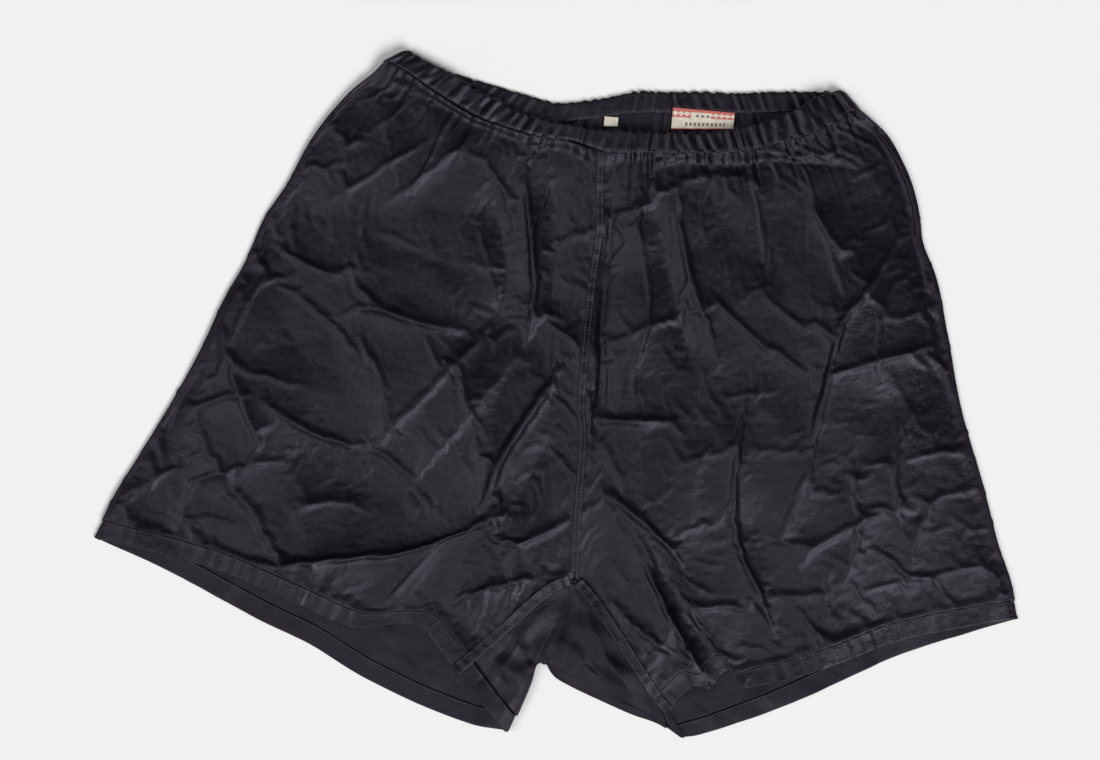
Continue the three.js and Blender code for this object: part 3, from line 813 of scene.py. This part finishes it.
def front_plan(side, rows, columns, hem):
    """Plan of a front panel, from the casing to the hem's stitches and from the side edge to the centre seam
    and inseam."""
    edge, inseam, lower = SIDES[side], INSEAMS[side], FRONT_HEMS[side]
    u, v = np.linspace(0, 1, columns), np.linspace(0, 1, rows)
    tuck = 1.0 * hem / 15
    start = edge.at(v * (1 - (hem - tuck) / edge.length))
    seam = FRONT_SEAM.at(np.minimum(v / LEG_SHARE, 1))
    leg = inseam.at(np.maximum((v - LEG_SHARE) / (1 - LEG_SHARE), 0) * (1 - (hem - tuck) / inseam.length))
    end = np.where((v <= LEG_SHARE)[:, None], seam, leg)
    at_seam = 0.505
    top = FRONT_LOW.at(u * at_seam if side == "right" else 1 - u * (1 - at_seam)) + (0, 1.6)
    bottom = band_inner(lower.at(u), hem - tuck, leg_up(edge), leg_up(inseam))
    top = closed_by(top, start[0] + (0, 1.6), end[0] + (0, 1.6))
    fade = (1 - v[:, None]) ** 8
    start, end = start + fade * (top[0] - start[0]), end + fade * (top[-1] - end[0])
    bottom = closed_by(bottom, start[-1], end[-1])
    return patch(top, bottom, start, end, u, v), u, v


def cloth_coordinates(u, v):
    """Metres along the threads of the cut panel."""
    across, down = np.meshgrid(u * CUT_WIDTH, v * CUT_LENGTH)
    return np.stack([across, down], -1) * MM


def refine(points, rows, columns):
    """The lattice read at more rows and columns: cubic pieces through the points, along each side in turn."""
    for axis, count in ((0, rows), (1, columns)):
        size = points.shape[axis]
        place = np.linspace(0, size - 1, count)
        i = np.minimum(place.astype(int), size - 2)
        t = (place - i).reshape([-1 if k == axis else 1 for k in range(3)])
        a, b, c, d = (np.take(points, np.clip(i + k, 0, size - 1), axis) for k in (-1, 0, 1, 2))
        points = 0.5 * (2 * b + (c - a) * t + (2 * a - 5 * b + 4 * c - d) * t ** 2
                        + (3 * b - a - 3 * c + d) * t ** 3)
    return points


def settle(sheets, support, growth=0.010, bending=2.0, frames=20):
    """Blender's Cloth on lattices of points whose two outer rings are held: the cloth is a little larger than its
    place, so it buckles into creases and comes to rest on the support. It runs ten times enlarged."""
    scene = bpy.context.scene
    enlarge = 0.01
    rows, columns = sheets[0].shape[:2]
    cells = np.vstack([crossed(rows, columns, k * rows * columns) for k in range(len(sheets))])
    mesh = bpy.data.meshes.new("settling")
    mesh.from_pydata(np.vstack([x.reshape(-1, 3) for x in sheets]) * enlarge, [], cells.tolist())
    cloth = bpy.data.objects.new("settling", mesh)
    under_mesh = bpy.data.meshes.new("support")
    under_mesh.from_pydata(support.reshape(-1, 3) * enlarge, [], quads(*support.shape[:2]).tolist())
    under = bpy.data.objects.new("support", under_mesh)
    scene.collection.objects.link(cloth)
    scene.collection.objects.link(under)
    under.modifiers.new("touch", "COLLISION")
    under.collision.thickness_outer = 0.005
    under.collision.cloth_friction = 8
    number = np.arange(rows * columns).reshape(rows, columns)
    ring = np.unique(np.concatenate([number[:2].ravel(), number[-2:].ravel(), number[:, :2].ravel(),
                                     number[:, -2:].ravel()]))
    held = cloth.vertex_groups.new(name="held")
    held.add(np.concatenate([ring + k * rows * columns for k in range(len(sheets))]).tolist(), 1.0, "ADD")
    modifier = cloth.modifiers.new("cloth", "CLOTH")
    setting = modifier.settings
    for name, value in (("quality", 5), ("mass", 0.2), ("tension_stiffness", 20), ("compression_stiffness", 20),
                        ("shear_stiffness", 8), ("bending_stiffness", bending), ("tension_damping", 8),
                        ("compression_damping", 8), ("shear_damping", 8), ("bending_damping", 0.5),
                        ("air_damping", 2), ("vertex_group_mass", "held"), ("shrink_min", -growth)):
        setattr(setting, name, value)
    modifier.collision_settings.distance_min = 0.012
    modifier.collision_settings.use_self_collision = False
    modifier.point_cache.frame_end = frames
    for frame_number in range(1, frames + 1):
        scene.frame_set(frame_number)
    shape = cloth.evaluated_get(bpy.context.evaluated_depsgraph_get()).to_mesh()
    points = np.zeros(len(shape.vertices) * 3)
    shape.vertices.foreach_get("co", points)
    points = points.reshape(len(sheets), rows, columns, 3) / enlarge
    for piece in (cloth, under):
        bpy.data.objects.remove(piece)
    scene.frame_set(1)
    return list(points)


def crossed(rows, columns, base):
    """Triangles of a lattice whose diagonals change direction from cell to cell."""
    cells = quads(rows, columns, base=base)[:, ::-1]
    odd = ((np.arange(rows - 1)[:, None] + np.arange(columns - 1)[None]) % 2 == 1).ravel()[:, None]
    return np.vstack([np.where(odd, cells[:, [0, 1, 2]], cells[:, [1, 2, 3]]),
                      np.where(odd, cells[:, [0, 2, 3]], cells[:, [1, 3, 0]])])


def front_sheets(hem):
    """The coarse front panels at rest: laid out, then settled by the simulation."""
    sheets = []
    for side in SIDE_NAMES:
        plan = front_plan(side, *SETTLE_GRID, hem)[0]
        sheets.append(raised(plan, coarse_height(plan)))
    rows, columns = SUPPORT_GRID
    xy = np.stack(np.meshgrid(np.linspace(-372, 372, columns), np.linspace(-275, 275, rows)), -1)
    return settle(sheets, raised(xy, loft(xy) - 3.2 + 0.8 * (laid_folds(xy) + broad_waves(xy))))


class SHORTS_OT_front_panels(bpy.types.Operator):
    """Make both front panels, from the casing to the hem stitches"""

    bl_idname = "shorts.front_panels"
    bl_label = "Front panels"

    def execute(self, context):
        sizes = context.scene.shorts_sizes
        rows, columns = FRONT_GRID
        u, v = np.linspace(0, 1, columns), np.linspace(0, 1, rows)
        for side, coarse in zip(SIDE_NAMES, front_sheets(sizes.hem_width / MM)):
            surface = refine(coarse, rows, columns)
            surface[..., 2] += fine_height(surface[..., :2])
            piece = sheet_piece(f"{side}_front_cloth", surface, cloth_coordinates(u, v), sateen_outside(),
                                flip=side == "right")
            thicken(piece, sizes.cloth)
            sewn(piece, f"{side}_front_panel")
        return {"FINISHED"}


NOTCH_SHARE = 0.86   # share of the rows above the notch between the legs
FOLD_RADIUS = 2.0    # of the cloth where it turns up from the table


def back_plan(side, rows, columns, hem):
    """Plan of the part of a back panel that lies on the table."""
    edge, fold_line, lower = SIDES[side], FOLDS[side], BACK_HEMS[side]
    u, v = np.linspace(0, 1, columns), np.linspace(0, 1, rows)
    tuck = 1.0 * hem / 15
    start = edge.at(v * (1 - (hem - tuck) / edge.length))
    seam = BACK_SEAM.at(np.minimum(v / NOTCH_SHARE, 1))
    leg = fold_line.at(np.maximum((v - NOTCH_SHARE) / (1 - NOTCH_SHARE), 0) * (1 - (hem - tuck) / fold_line.length))
    end = np.where((v <= NOTCH_SHARE)[:, None], seam, leg)
    at_seam = 0.388
    top = BACK_LOW.at(1 - u * (1 - at_seam) if side == "right" else u * at_seam) + (0, 1.6)
    top = closed_by(top, start[0] + (0, 1.6), end[0] + (0, 1.6))
    fade = (1 - v[:, None]) ** 8
    start, end = start + fade * (top[0] - start[0]), end + fade * (top[-1] - end[0])
    bottom = band_inner(lower.at(u), hem - tuck, leg_up(edge), leg_up(fold_line))
    bottom = closed_by(bottom, start[-1], end[-1])
    return patch(top, bottom, start, end, u, v), u, v


def turned_part(side, start, share, low, hem):
    """The part of a back panel that turns up round the inner leg: half an ellipse round the fold, then straight
    rows to the line from the notch to the crotch and down the inseam."""
    inseam = INSEAMS[side]
    tuck = 1.0 * hem / 15
    climb = np.clip(share / 0.45, 0, 1)[:, None]
    leg = inseam.at(np.clip((share - 0.45) / 0.55, 0, 1) * (1 - (hem - tuck) / inseam.length))
    rise = mix(np.array(NOTCH, float), np.array(CROTCH, float), climb)
    end = np.where((share <= 0.45)[:, None], rise, leg)
    out = unit(FOLDS[side].left(share)) * (1 if side == "right" else -1)
    t = np.linspace(0, 1, TURNED_COLUMNS)
    over = start[:, None] * (1 - t[None, :, None]) + end[:, None] * t[None, :, None]
    height = front_height(over) - 0.5
    ends = np.sin(math.pi * t) ** 0.7
    height += ends * (facets(over, 57, 4, 24, 1.2) + facets(over, 58, 4, 10, 0.2) + 1.3 * clouds(59, over, 26))
    height = mix(height[:, :1], height, smooth(t / 0.12)[None])
    high = height[:, 0]
    radius = np.minimum(FOLD_RADIUS, 0.3 + share[:, None] * 12)
    angle = np.linspace(0, math.pi, 13)[1:-1]
    bulge = start[:, None] + (out * radius)[:, None] * np.sin(angle)[None, :, None]
    bulge_z = low[:, None] + (high - low)[:, None] * (0.5 - 0.5 * np.cos(angle))[None]
    return np.concatenate([raised(bulge, bulge_z), raised(over, height)], 1)


class SHORTS_OT_back_panels(bpy.types.Operator):
    """Make both back panels, which turn up round the inner leg edges to the inseams"""

    bl_idname = "shorts.back_panels"
    bl_label = "Back panels"

    def execute(self, context):
        sizes = context.scene.shorts_sizes
        hem = sizes.hem_width / MM
        rows, columns = BACK_GRID
        for side in SIDE_NAMES:
            plan, u, v = back_plan(side, rows, columns, hem)
            low = back_height(plan) - sizes.cloth / MM
            under = raised(plan, low)
            first = int(NOTCH_SHARE * (rows - 1)) + 1
            share = (v[first:] - NOTCH_SHARE) / (1 - NOTCH_SHARE)
            over = turned_part(side, plan[first:, -1], share, low[first:, -1], hem)
            turned_columns = over.shape[1]
            joined = np.concatenate([under[first:, -1:], over], 1)
            points = np.vstack([under.reshape(-1, 3), joined.reshape(-1, 3)])
            faces = np.vstack([quads(rows, columns),
                               quads(rows - first, turned_columns + 1, base=rows * columns)])
            if side == "left":
                faces = faces[:, ::-1]
            turned_u = 1 + np.linspace(0, 0.25, turned_columns + 1)
            uv = np.vstack([cloth_coordinates(u, v).reshape(-1, 2),
                            cloth_coordinates(turned_u, v[first:]).reshape(-1, 2)])
            piece = make_mesh(f"{side}_back_cloth", points, faces.tolist(), uv, sateen_inside())
            join_edges(piece)
            thicken(piece, sizes.cloth)
            sewn(piece, f"{side}_back_panel")
        return {"FINISHED"}


def join_edges(piece):
    """Merge the points that lie on each other where two parts of a sheet meet."""
    work = bmesh.new()
    work.from_mesh(piece.data)
    bmesh.ops.remove_doubles(work, verts=work.verts, dist=0.02 * MM)
    work.to_mesh(piece.data)
    work.free()


# ---- Hems ----

class SHORTS_OT_hems(bpy.types.Operator):
    """Make the turned hems of both legs, front and back, with their stitches"""

    bl_idname = "shorts.hems"
    bl_label = "Leg hems"

    def execute(self, context):
        sizes = context.scene.shorts_sizes
        hem = sizes.hem_width / MM
        thread = finish("thread", thread_finish)
        for side in SIDE_NAMES:
            outer = FRONT_HEMS[side].at(np.linspace(0.004, 0.998, 230))
            inner = band_inner(outer, hem, leg_up(SIDES[side]), leg_up(INSEAMS[side]))
            half = 0.65
            relief = pucker(FRONT_HEMS[side], 0.35, 5.5, 74)
            piece = band_on(f"{side}_front_hem_band", outer, inner, lambda xy: front_height(xy) - 0.45, half,
                            sateen_outside(), face=13, relief=relief)
            sewn(piece, f"{side}_front_hem")
            row = mix(inner, outer, STITCH_IN / hem)
            path = raised(row, front_height(row) - 0.45 + half + relief(row) + 0.1)
            sewn(stitches(f"{side}_front_hem_thread", [(path, upright(path))], thread),
                 f"{side}_front_hem_stitching")

            outer3, inner3, up = folded_hem(side, hem)
            piece = band_piece(f"{side}_back_hem_band", outer3, inner3, up, 0.6, sateen_inside(), face=12)
            sewn(piece, f"{side}_back_hem")
            row = mix(inner3, outer3, STITCH_IN / hem)
            inside, outside = row - up * 0.68, row + up * 0.68
            sewn(stitches(f"{side}_back_hem_thread", [(inside[4:-66], -up[4:-66]), (outside[-52:], up[-52:])],
                          thread), f"{side}_back_hem_stitching")
        return {"FINISHED"}


def upright(path):
    """The direction straight up, once for each point of the path."""
    return np.broadcast_to(np.array([0.0, 0, 1]), path.shape)


def folded_hem(side, hem):
    """Edges and outward direction of a back hem: along the table, round the fold, then over to the inseam."""
    edge, inseam, fold_line = SIDES[side], INSEAMS[side], FOLDS[side]
    u = np.linspace(0.004, 1, 230)
    outer = BACK_HEMS[side].at(u)
    inner = band_inner(outer, hem, leg_up(edge), leg_up(fold_line))
    along = unit(outer[-1] - outer[-8])
    shift = along * FOLD_RADIUS * smooth(u * 6 - 5)[:, None]
    t = np.linspace(0, 1, 58)[:, None]
    angle = np.linspace(0, math.pi, 12)[1:-1]
    edges = []
    for under, top in ((outer - shift, inseam.at(1.0)), (inner - shift, inseam.at(1 - hem / inseam.length))):
        over = mix(under[-1], top, t)
        low, high = back_height(under) + 0.35, front_height(over) - 0.1
        bulge = under[-1] + np.sin(angle)[:, None] * along * FOLD_RADIUS
        bulge_z = low[-1] + (high[0] - low[-1]) * (0.5 - 0.5 * np.cos(angle))
        edges.append(np.vstack([raised(under, low), raised(bulge, bulge_z), raised(over, high)]))
    turn = np.concatenate([np.zeros(len(u)), angle, np.full(len(t), math.pi)])
    up = np.concatenate([np.sin(turn)[:, None] * along, -np.cos(turn)[:, None]], 1)
    return edges[0], edges[1], up


def band_on(name, outer, inner, height, half, material, face=12, arc=3, relief=None):
    """A flat band that lies on a surface: each of its points stands over the surface at its own place."""
    width = float(np.linalg.norm(outer - inner, axis=1).mean())
    across, rise = band_profile(face, arc, min(0.3, 0.9 * half / width))
    xy = outer[:, None] + (inner - outer)[:, None] * across[None, :, None]
    shift = half * rise[None] + (0 if relief is None else relief(xy) * (0.5 + 0.5 * rise[None]))
    points = raised(xy, height(xy) + shift)
    stations, count = points.shape[:2]
    faces = quads(stations, count, wrap_columns=True).tolist()
    faces.append(list(range(count))[::-1])
    faces.append(list(range((stations - 1) * count, stations * count)))
    side = np.cross(raised(np.gradient((outer + inner) / 2, axis=0), 0.0), raised(inner - outer, 0.0))
    if np.sum(side[:, 2]) < 0:
        faces = [cell[::-1] for cell in faces]
    run = np.r_[0, np.cumsum(np.linalg.norm(np.diff((outer + inner) / 2, axis=0), axis=1))]
    uv = np.stack(np.broadcast_arrays(run[:, None], width * across[None] + 40 * (rise[None] < 0)), -1) * MM
    return make_mesh(name, points.reshape(-1, 3), faces, uv, material)


# ---- Seams ----

def pucker(line, depth, pitch, seed):
    """Small cross ripples along a stitched seam."""
    waves = wander(seed, 0, line.length + 40, pitch)

    def read(xy):
        _, _, share = line.near(xy)
        return depth * waves(share * line.length)
    return read


def felled(name, node, line, share, half_width, half, lift, face, relief, rows, thread):
    """A flat-felled seam on the front: a band along the line with a row of stitches near each edge. rows gives
    the name of each row and the side it is on."""
    piece = band_on(name, line.beside(share, -half_width), line.beside(share, half_width),
                    lambda xy: front_height(xy) + lift, half, sateen_outside(), face=face, relief=relief)
    sewn(piece, node)
    for row_name, hand in rows:
        row = line.beside(share, hand * (half_width - STITCH_IN))
        path = raised(row, front_height(row) + lift + half + relief(row) + 0.06)
        sewn(stitches(f"{row_name}_thread", [(path, upright(path))], thread), f"{row_name}_stitching")


class SHORTS_OT_seams(bpy.types.Operator):
    """Make the centre seams, inseams and side seams, with their stitches"""

    bl_idname = "shorts.seams"
    bl_label = "Seams"

    def execute(self, context):
        thread = finish("thread", thread_finish)
        self.front_seam(thread)
        for side in SIDE_NAMES:
            self.inseam(side, thread)
            self.side_seam(side)
        self.back_seam(thread)
        return {"FINISHED"}

    def front_seam(self, thread):
        felled("front_seam_fell", "front_centre_seam", FRONT_SEAM, np.linspace(0, 0.985, 330), 3.1, 0.55, 0.25, 9,
               pucker(FRONT_SEAM, 0.14, 5.5, 71), (("front_seam_right", -1), ("front_seam_left", 1)), thread)

    def inseam(self, side, thread):
        line = INSEAMS[side]
        hand = -1 if side == "right" else 1
        felled(f"{side}_inseam_fell", f"{side}_inseam", line, np.linspace(0.03, 0.995, 130), 4.4, 0.6, 0.3, 11,
               pucker(line, 0.2, 4.6, 72), ((f"{side}_inseam_upper", hand), (f"{side}_inseam_lower", -hand)), thread)

    def side_seam(self, side):
        """A rolled edge: a flat-oval tube along the outline, with small ripples."""
        line = SIDES[side]
        t = np.linspace(0.0, 1, 330)
        hand = 1 if side == "right" else -1
        run = t * line.length
        ripple = (0.3 * wander(73, 0, line.length, 5)(run) + 0.8 * wander(74, 0, line.length, 13)(run))
        ripple = ripple[:, None] * line.left(t)
        outer = line.at(t) + ripple
        inner = line.beside(t, -hand * -5.0) + ripple * 0.4
        lift = mix(2.6, 1.5, smooth(t * 2.4))
        outer3, inner3 = raised(outer, lift), raised(inner, lift + 0.4)
        up = upright(outer3)
        piece = band_piece(f"{side}_side_roll", outer3, inner3, up, lift - 0.1, sateen_outside(), face=7, arc=5)
        sewn(piece, f"{side}_side_seam")

    def back_seam(self, thread):
        """The felled seam lies inside on the back, turns up at the notch and ends under the crotch."""
        half_width, half, radius = 3.0, 0.5, FOLD_RADIUS + 0.4
        t = np.linspace(0, 1, 300)
        under = BACK_SEAM.at(t)
        low = back_height(under) + 0.5
        angle = np.linspace(0, math.pi, 12)[1:-1]
        climb = np.linspace(0, 1, 60)[:, None]
        over = mix(np.array(NOTCH, float), np.array(CROTCH, float) - (0, 4.0), climb)
        high = front_height(over) - 0.15
        bulge = under[-1] + np.sin(angle)[:, None] * np.array([0, -radius])
        bulge_z = low[-1] + (high[0] - low[-1]) * (0.5 - 0.5 * np.cos(angle))
        middle = np.vstack([raised(under, low), raised(bulge, bulge_z), raised(over, high)])
        turn = np.concatenate([np.zeros(len(t)), angle, np.full(len(climb), math.pi)])
        up = np.stack([0 * turn, -np.sin(turn), -np.cos(turn)], -1)
        side = np.array([half_width, 0, 0])
        piece = band_piece("back_seam_fell", middle - side, middle + side, up, half, sateen_inside(), face=8)
        sewn(piece, "back_centre_seam")
        for name, place in (("right", -1), ("left", 1)):
            path = middle[:300] + side * place * (1 - STITCH_IN / half_width) + (0, 0, half + 0.06)
            sewn(stitches(f"back_seam_{name}_thread", [(path, upright(path))], thread),
                 f"back_seam_{name}_stitching")


# ---- Waist ----

def waist_edges():
    """Top and lower edge of the casing and its outward direction, all round: along the front, half round the
    left side, along the back and half round the right side."""
    front, back, turn = 380, 360, 18
    s = np.linspace(0, 1, front)
    sb = np.linspace(0, 1, back)
    low_front = FRONT_LOW.at(s)
    kernel = np.hanning(41) / np.hanning(41).sum()
    level = casing_level(low_front)
    level = np.convolve(np.pad(level, 20, mode="edge"), kernel, "valid")
    level_back = np.full(back, 1.95)
    angle = np.linspace(0, math.pi, turn + 2)[1:-1]
    parts = []
    for (top, low, z, up_z, hand, z_next) in (
            (FRONT_TOP.at(s), low_front, level, 1.0, 1, level_back[0]),
            (BACK_TOP.at(sb), BACK_LOW.at(sb), level_back, -1.0, -1, level[0])):
        up = np.zeros((len(z), 3))
        up[:, 2] = up_z
        parts.append((raised(top, z), raised(low, z), up))
        radius = abs(z[-1] - z_next) / 2
        middle = (z[-1] + z_next) / 2
        out = np.stack([hand * np.sin(angle), 0 * angle, up_z * np.cos(angle)], -1)
        parts.append((np.r_[top[-1], middle] + out * radius, np.r_[low[-1], middle] + out * radius, out))
    return [np.vstack([p[i] for p in parts]) for i in range(3)]


def casing_relief(top):
    """Gathers on the casing, at the same places as on the panels, with a groove along the stitches."""
    strength = np.where(top[:, 2] > 2.5, 2.1, 0.95)[:, None]
    place = top[:, :1]
    first, second = wander(91, -180, 220, 3.9), wander(92, -180, 220, 6.5)
    upper = np.where(top[:, 2] > 2.5, 1.0, -1.0)[:, None]

    def read(across):
        lean = place + 1.5 * np.sin(place / 17) * (across - 1)
        low_part = smooth((across - 0.25) / 0.6)
        rise = gather_line(lean) * (0.5 + 0.5 * low_part) + 0.5 * first(lean) * (1 - low_part) + 0.35 * second(lean)
        groove = 0.3 * np.exp(-((across - 0.9) / 0.05) ** 2)
        return strength * 0.75 * rise - groove * upper
    return read


class SHORTS_OT_waist(bpy.types.Operator):
    """Make the gathered waist casing, the elastic inside it and its stitches"""

    bl_idname = "shorts.waist"
    bl_label = "Waist casing"

    def execute(self, context):
        sizes = context.scene.shorts_sizes
        top, low, up = waist_edges()
        back = top[:, 2] < 2.5
        down = unit(low - top)
        scallop = wander(81, -180, 220, 2.6)(top[:, 0])[:, None]
        outer = top + down * (1.3 - 1.3 * gather_line(top[:, 0])[:, None] + 0.5 * scallop)
        half = np.where(back, 0.42, 0.5) * sizes.casing / MM
        piece = band_piece("waist_casing_cloth", outer, low, up, half, sateen_outside(), closed=True, face=16, arc=5,
                           relief=casing_relief(top))
        sewn(piece, "waist_casing")

        inset = 2.6 / np.linalg.norm(low - top, axis=1)[:, None]
        ripple = casing_relief(top)
        share = inset[:, 0].mean()
        tape = band_piece("waist_elastic_tape", mix(top, low, inset), mix(top, low, 1 - inset), up, 0.35,
                          finish("elastic", elastic_finish), closed=True, face=5, arc=2,
                          relief=lambda across: ripple(share + across * (1 - 2 * share)))
        sewn(tape, "waist_elastic")

        thread = finish("thread", thread_finish)
        line = mix(top, low, 0.9)
        relief = casing_relief(top)(np.full((1, 1), 0.9))
        front = line + up * (half[:, None] + relief + 0.02)
        rows = 380
        sewn(stitches("waist_front_thread", [(front[2:rows - 2], up[2:rows - 2])], thread), "waist_front_stitching")
        start = rows + 18
        inside = line - up * (half[:, None] + 0.02)
        sewn(stitches("waist_back_thread", [(inside[start + 2:start + 358], -up[start + 2:start + 358])], thread),
             "waist_back_stitching")
        return {"FINISHED"}


# ---- Labels ----

LABEL = {"left": 56.0, "right": 103.0, "top": 229.5, "low_left": 213.0, "low_right": 217.0}
TAG = {"left": 5.0, "right": 15.5, "top": 218.0, "low_left": 210.6, "low_right": 211.4}
LABEL_WIDTH = 47.0
LABEL_HEIGHT = 15.0


class SHORTS_OT_labels(bpy.types.Operator):
    """Make the woven label and the size tag, each on its own body, with the bar of stitches that holds it"""

    bl_idname = "shorts.labels"
    bl_label = "Labels"

    def execute(self, context):
        thread = finish("thread", thread_finish)
        for body, sizes, pattern, curl in (("maker_label", LABEL, True, 0.7), ("size_tag", TAG, False, 0.35)):
            low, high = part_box(body)
            u, v = np.linspace(0, 1, 64), np.linspace(0, 1, 26)
            uu, vv = np.meshgrid(u, v)
            x = mix(sizes["left"], sizes["right"], uu)
            y = mix(sizes["top"], mix(sizes["low_left"], sizes["low_right"], uu), vv)
            level = (low.z + high.z) / 2 / MM
            z = level + curl * vv ** 2 * (0.55 + 0.45 * np.cos(uu * 5.1 + 0.6)) + 0.18 * np.sin(uu * 9) * vv
            points = np.stack([x, y, z], -1)
            uv = np.stack([uu * (sizes["right"] - sizes["left"]), (1 - vv) * (sizes["top"] - sizes["low_left"])], -1)
            cloth = finish(f"{body}_cloth", label_finish, pattern)
            piece = sheet_piece(f"{body}_cloth", points, uv * MM, cloth, flip=True)
            thicken(piece, 0.32 * MM, 0.0)
            sewn(piece, body, body)
            low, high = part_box(f"{body}_stitching")
            x = np.linspace(low.x / MM + 0.3, high.x / MM - 0.3, 40)
            path = np.stack(np.broadcast_arrays(x, (low.y + high.y) / 2 / MM, (low.z + high.z) / 2 / MM), -1)
            sewn(stitches(f"{body}_thread", [(path, upright(path))], thread), f"{body}_stitching")
        return {"FINISHED"}


# ---- Stage ----

TABLE_HALF = 9.0
# Name, place, spread in degrees, strength
LIGHTS = (("key_light", (1.0, -1.15, 1.58), 32, 2.55), ("fill_light", (-1.1, -0.35, 1.6), 40, 1.3))
LENS, SENSOR, VIEW_WIDTH = 70.0, 36.0, 0.836

class SHORTS_OT_stage(bpy.types.Operator):
    """Make the pale table, the soft lights and the camera"""

    bl_idname = "shorts.stage"
    bl_label = "Stage"

    def execute(self, context):
        scene = context.scene
        half = TABLE_HALF
        corners = np.array([(-half, -half, 0), (half, -half, 0), (half, half, 0), (-half, half, 0)]) / MM
        table = make_mesh("table", corners, [(0, 1, 2, 3)], corners[:, :2] * MM, table_finish(),
                          smooth_faces=False)
        world = bpy.data.worlds.new("studio")
        world.use_nodes = True
        world.node_tree.nodes["Background"].inputs["Color"].default_value = (0.93, 0.96, 1.0, 1)
        world.node_tree.nodes["Background"].inputs["Strength"].default_value = 0.06
        scene.world = world
        scene.view_settings.view_transform = "Standard"
        for name, place, spread, strength in LIGHTS:
            light = bpy.data.lights.new(name, "SUN")
            light.energy = strength
            light.angle = math.radians(spread)
            lamp = bpy.data.objects.new(name, light)
            scene.collection.objects.link(lamp)
            lamp.location = place
            aim = -np.array(place)
            lamp.rotation_euler = (math.atan2(math.hypot(aim[0], aim[1]), -aim[2]), 0, math.atan2(-aim[0], aim[1]))
        lens = bpy.data.cameras.new("camera")
        lens.lens = LENS
        lens.sensor_width = SENSOR
        camera = bpy.data.objects.new("camera", lens)
        scene.collection.objects.link(camera)
        camera.location = (-0.0181, 0.0152, VIEW_WIDTH * LENS / SENSOR)
        camera.rotation_euler = (0, 0, math.radians(5.2))
        scene.camera = camera
        return {"FINISHED"}


class SHORTS_PT_panel(bpy.types.Panel):
    """Lists the pieces of the shorts and their sizes."""

    bl_idname = "SHORTS_PT_panel"
    bl_label = "Boxing Shorts"
    bl_space_type = "VIEW_3D"
    bl_region_type = "UI"
    bl_category = "Shorts"

    def draw(self, context):
        layout = self.layout
        for group in (context.scene.shorts_sizes, context.scene.shorts_colours):
            for name in group.__annotations__:
                layout.prop(group, name)
        for operator in OPERATORS:
            layout.operator(operator.bl_idname)


OPERATORS = (SHORTS_OT_stage, SHORTS_OT_back_panels, SHORTS_OT_front_panels, SHORTS_OT_hems, SHORTS_OT_seams,
             SHORTS_OT_waist, SHORTS_OT_labels)
CLASSES = (SHORTS_PG_sizes, SHORTS_PG_colours, *OPERATORS, SHORTS_PT_panel)


def register():
    for cls in CLASSES:
        bpy.utils.register_class(cls)
    bpy.types.Scene.shorts_sizes = bpy.props.PointerProperty(type=SHORTS_PG_sizes)
    bpy.types.Scene.shorts_colours = bpy.props.PointerProperty(type=SHORTS_PG_colours)


def unregister():
    del bpy.types.Scene.shorts_colours
    del bpy.types.Scene.shorts_sizes
    for cls in reversed(CLASSES):
        bpy.utils.unregister_class(cls)


def main():
    register()
    bpy.ops.shorts.stage()
    bpy.ops.shorts.back_panels()
    bpy.ops.shorts.front_panels()
    bpy.ops.shorts.hems()
    bpy.ops.shorts.seams()
    bpy.ops.shorts.waist()
    bpy.ops.shorts.labels()


if __name__ == "__main__":
    main()
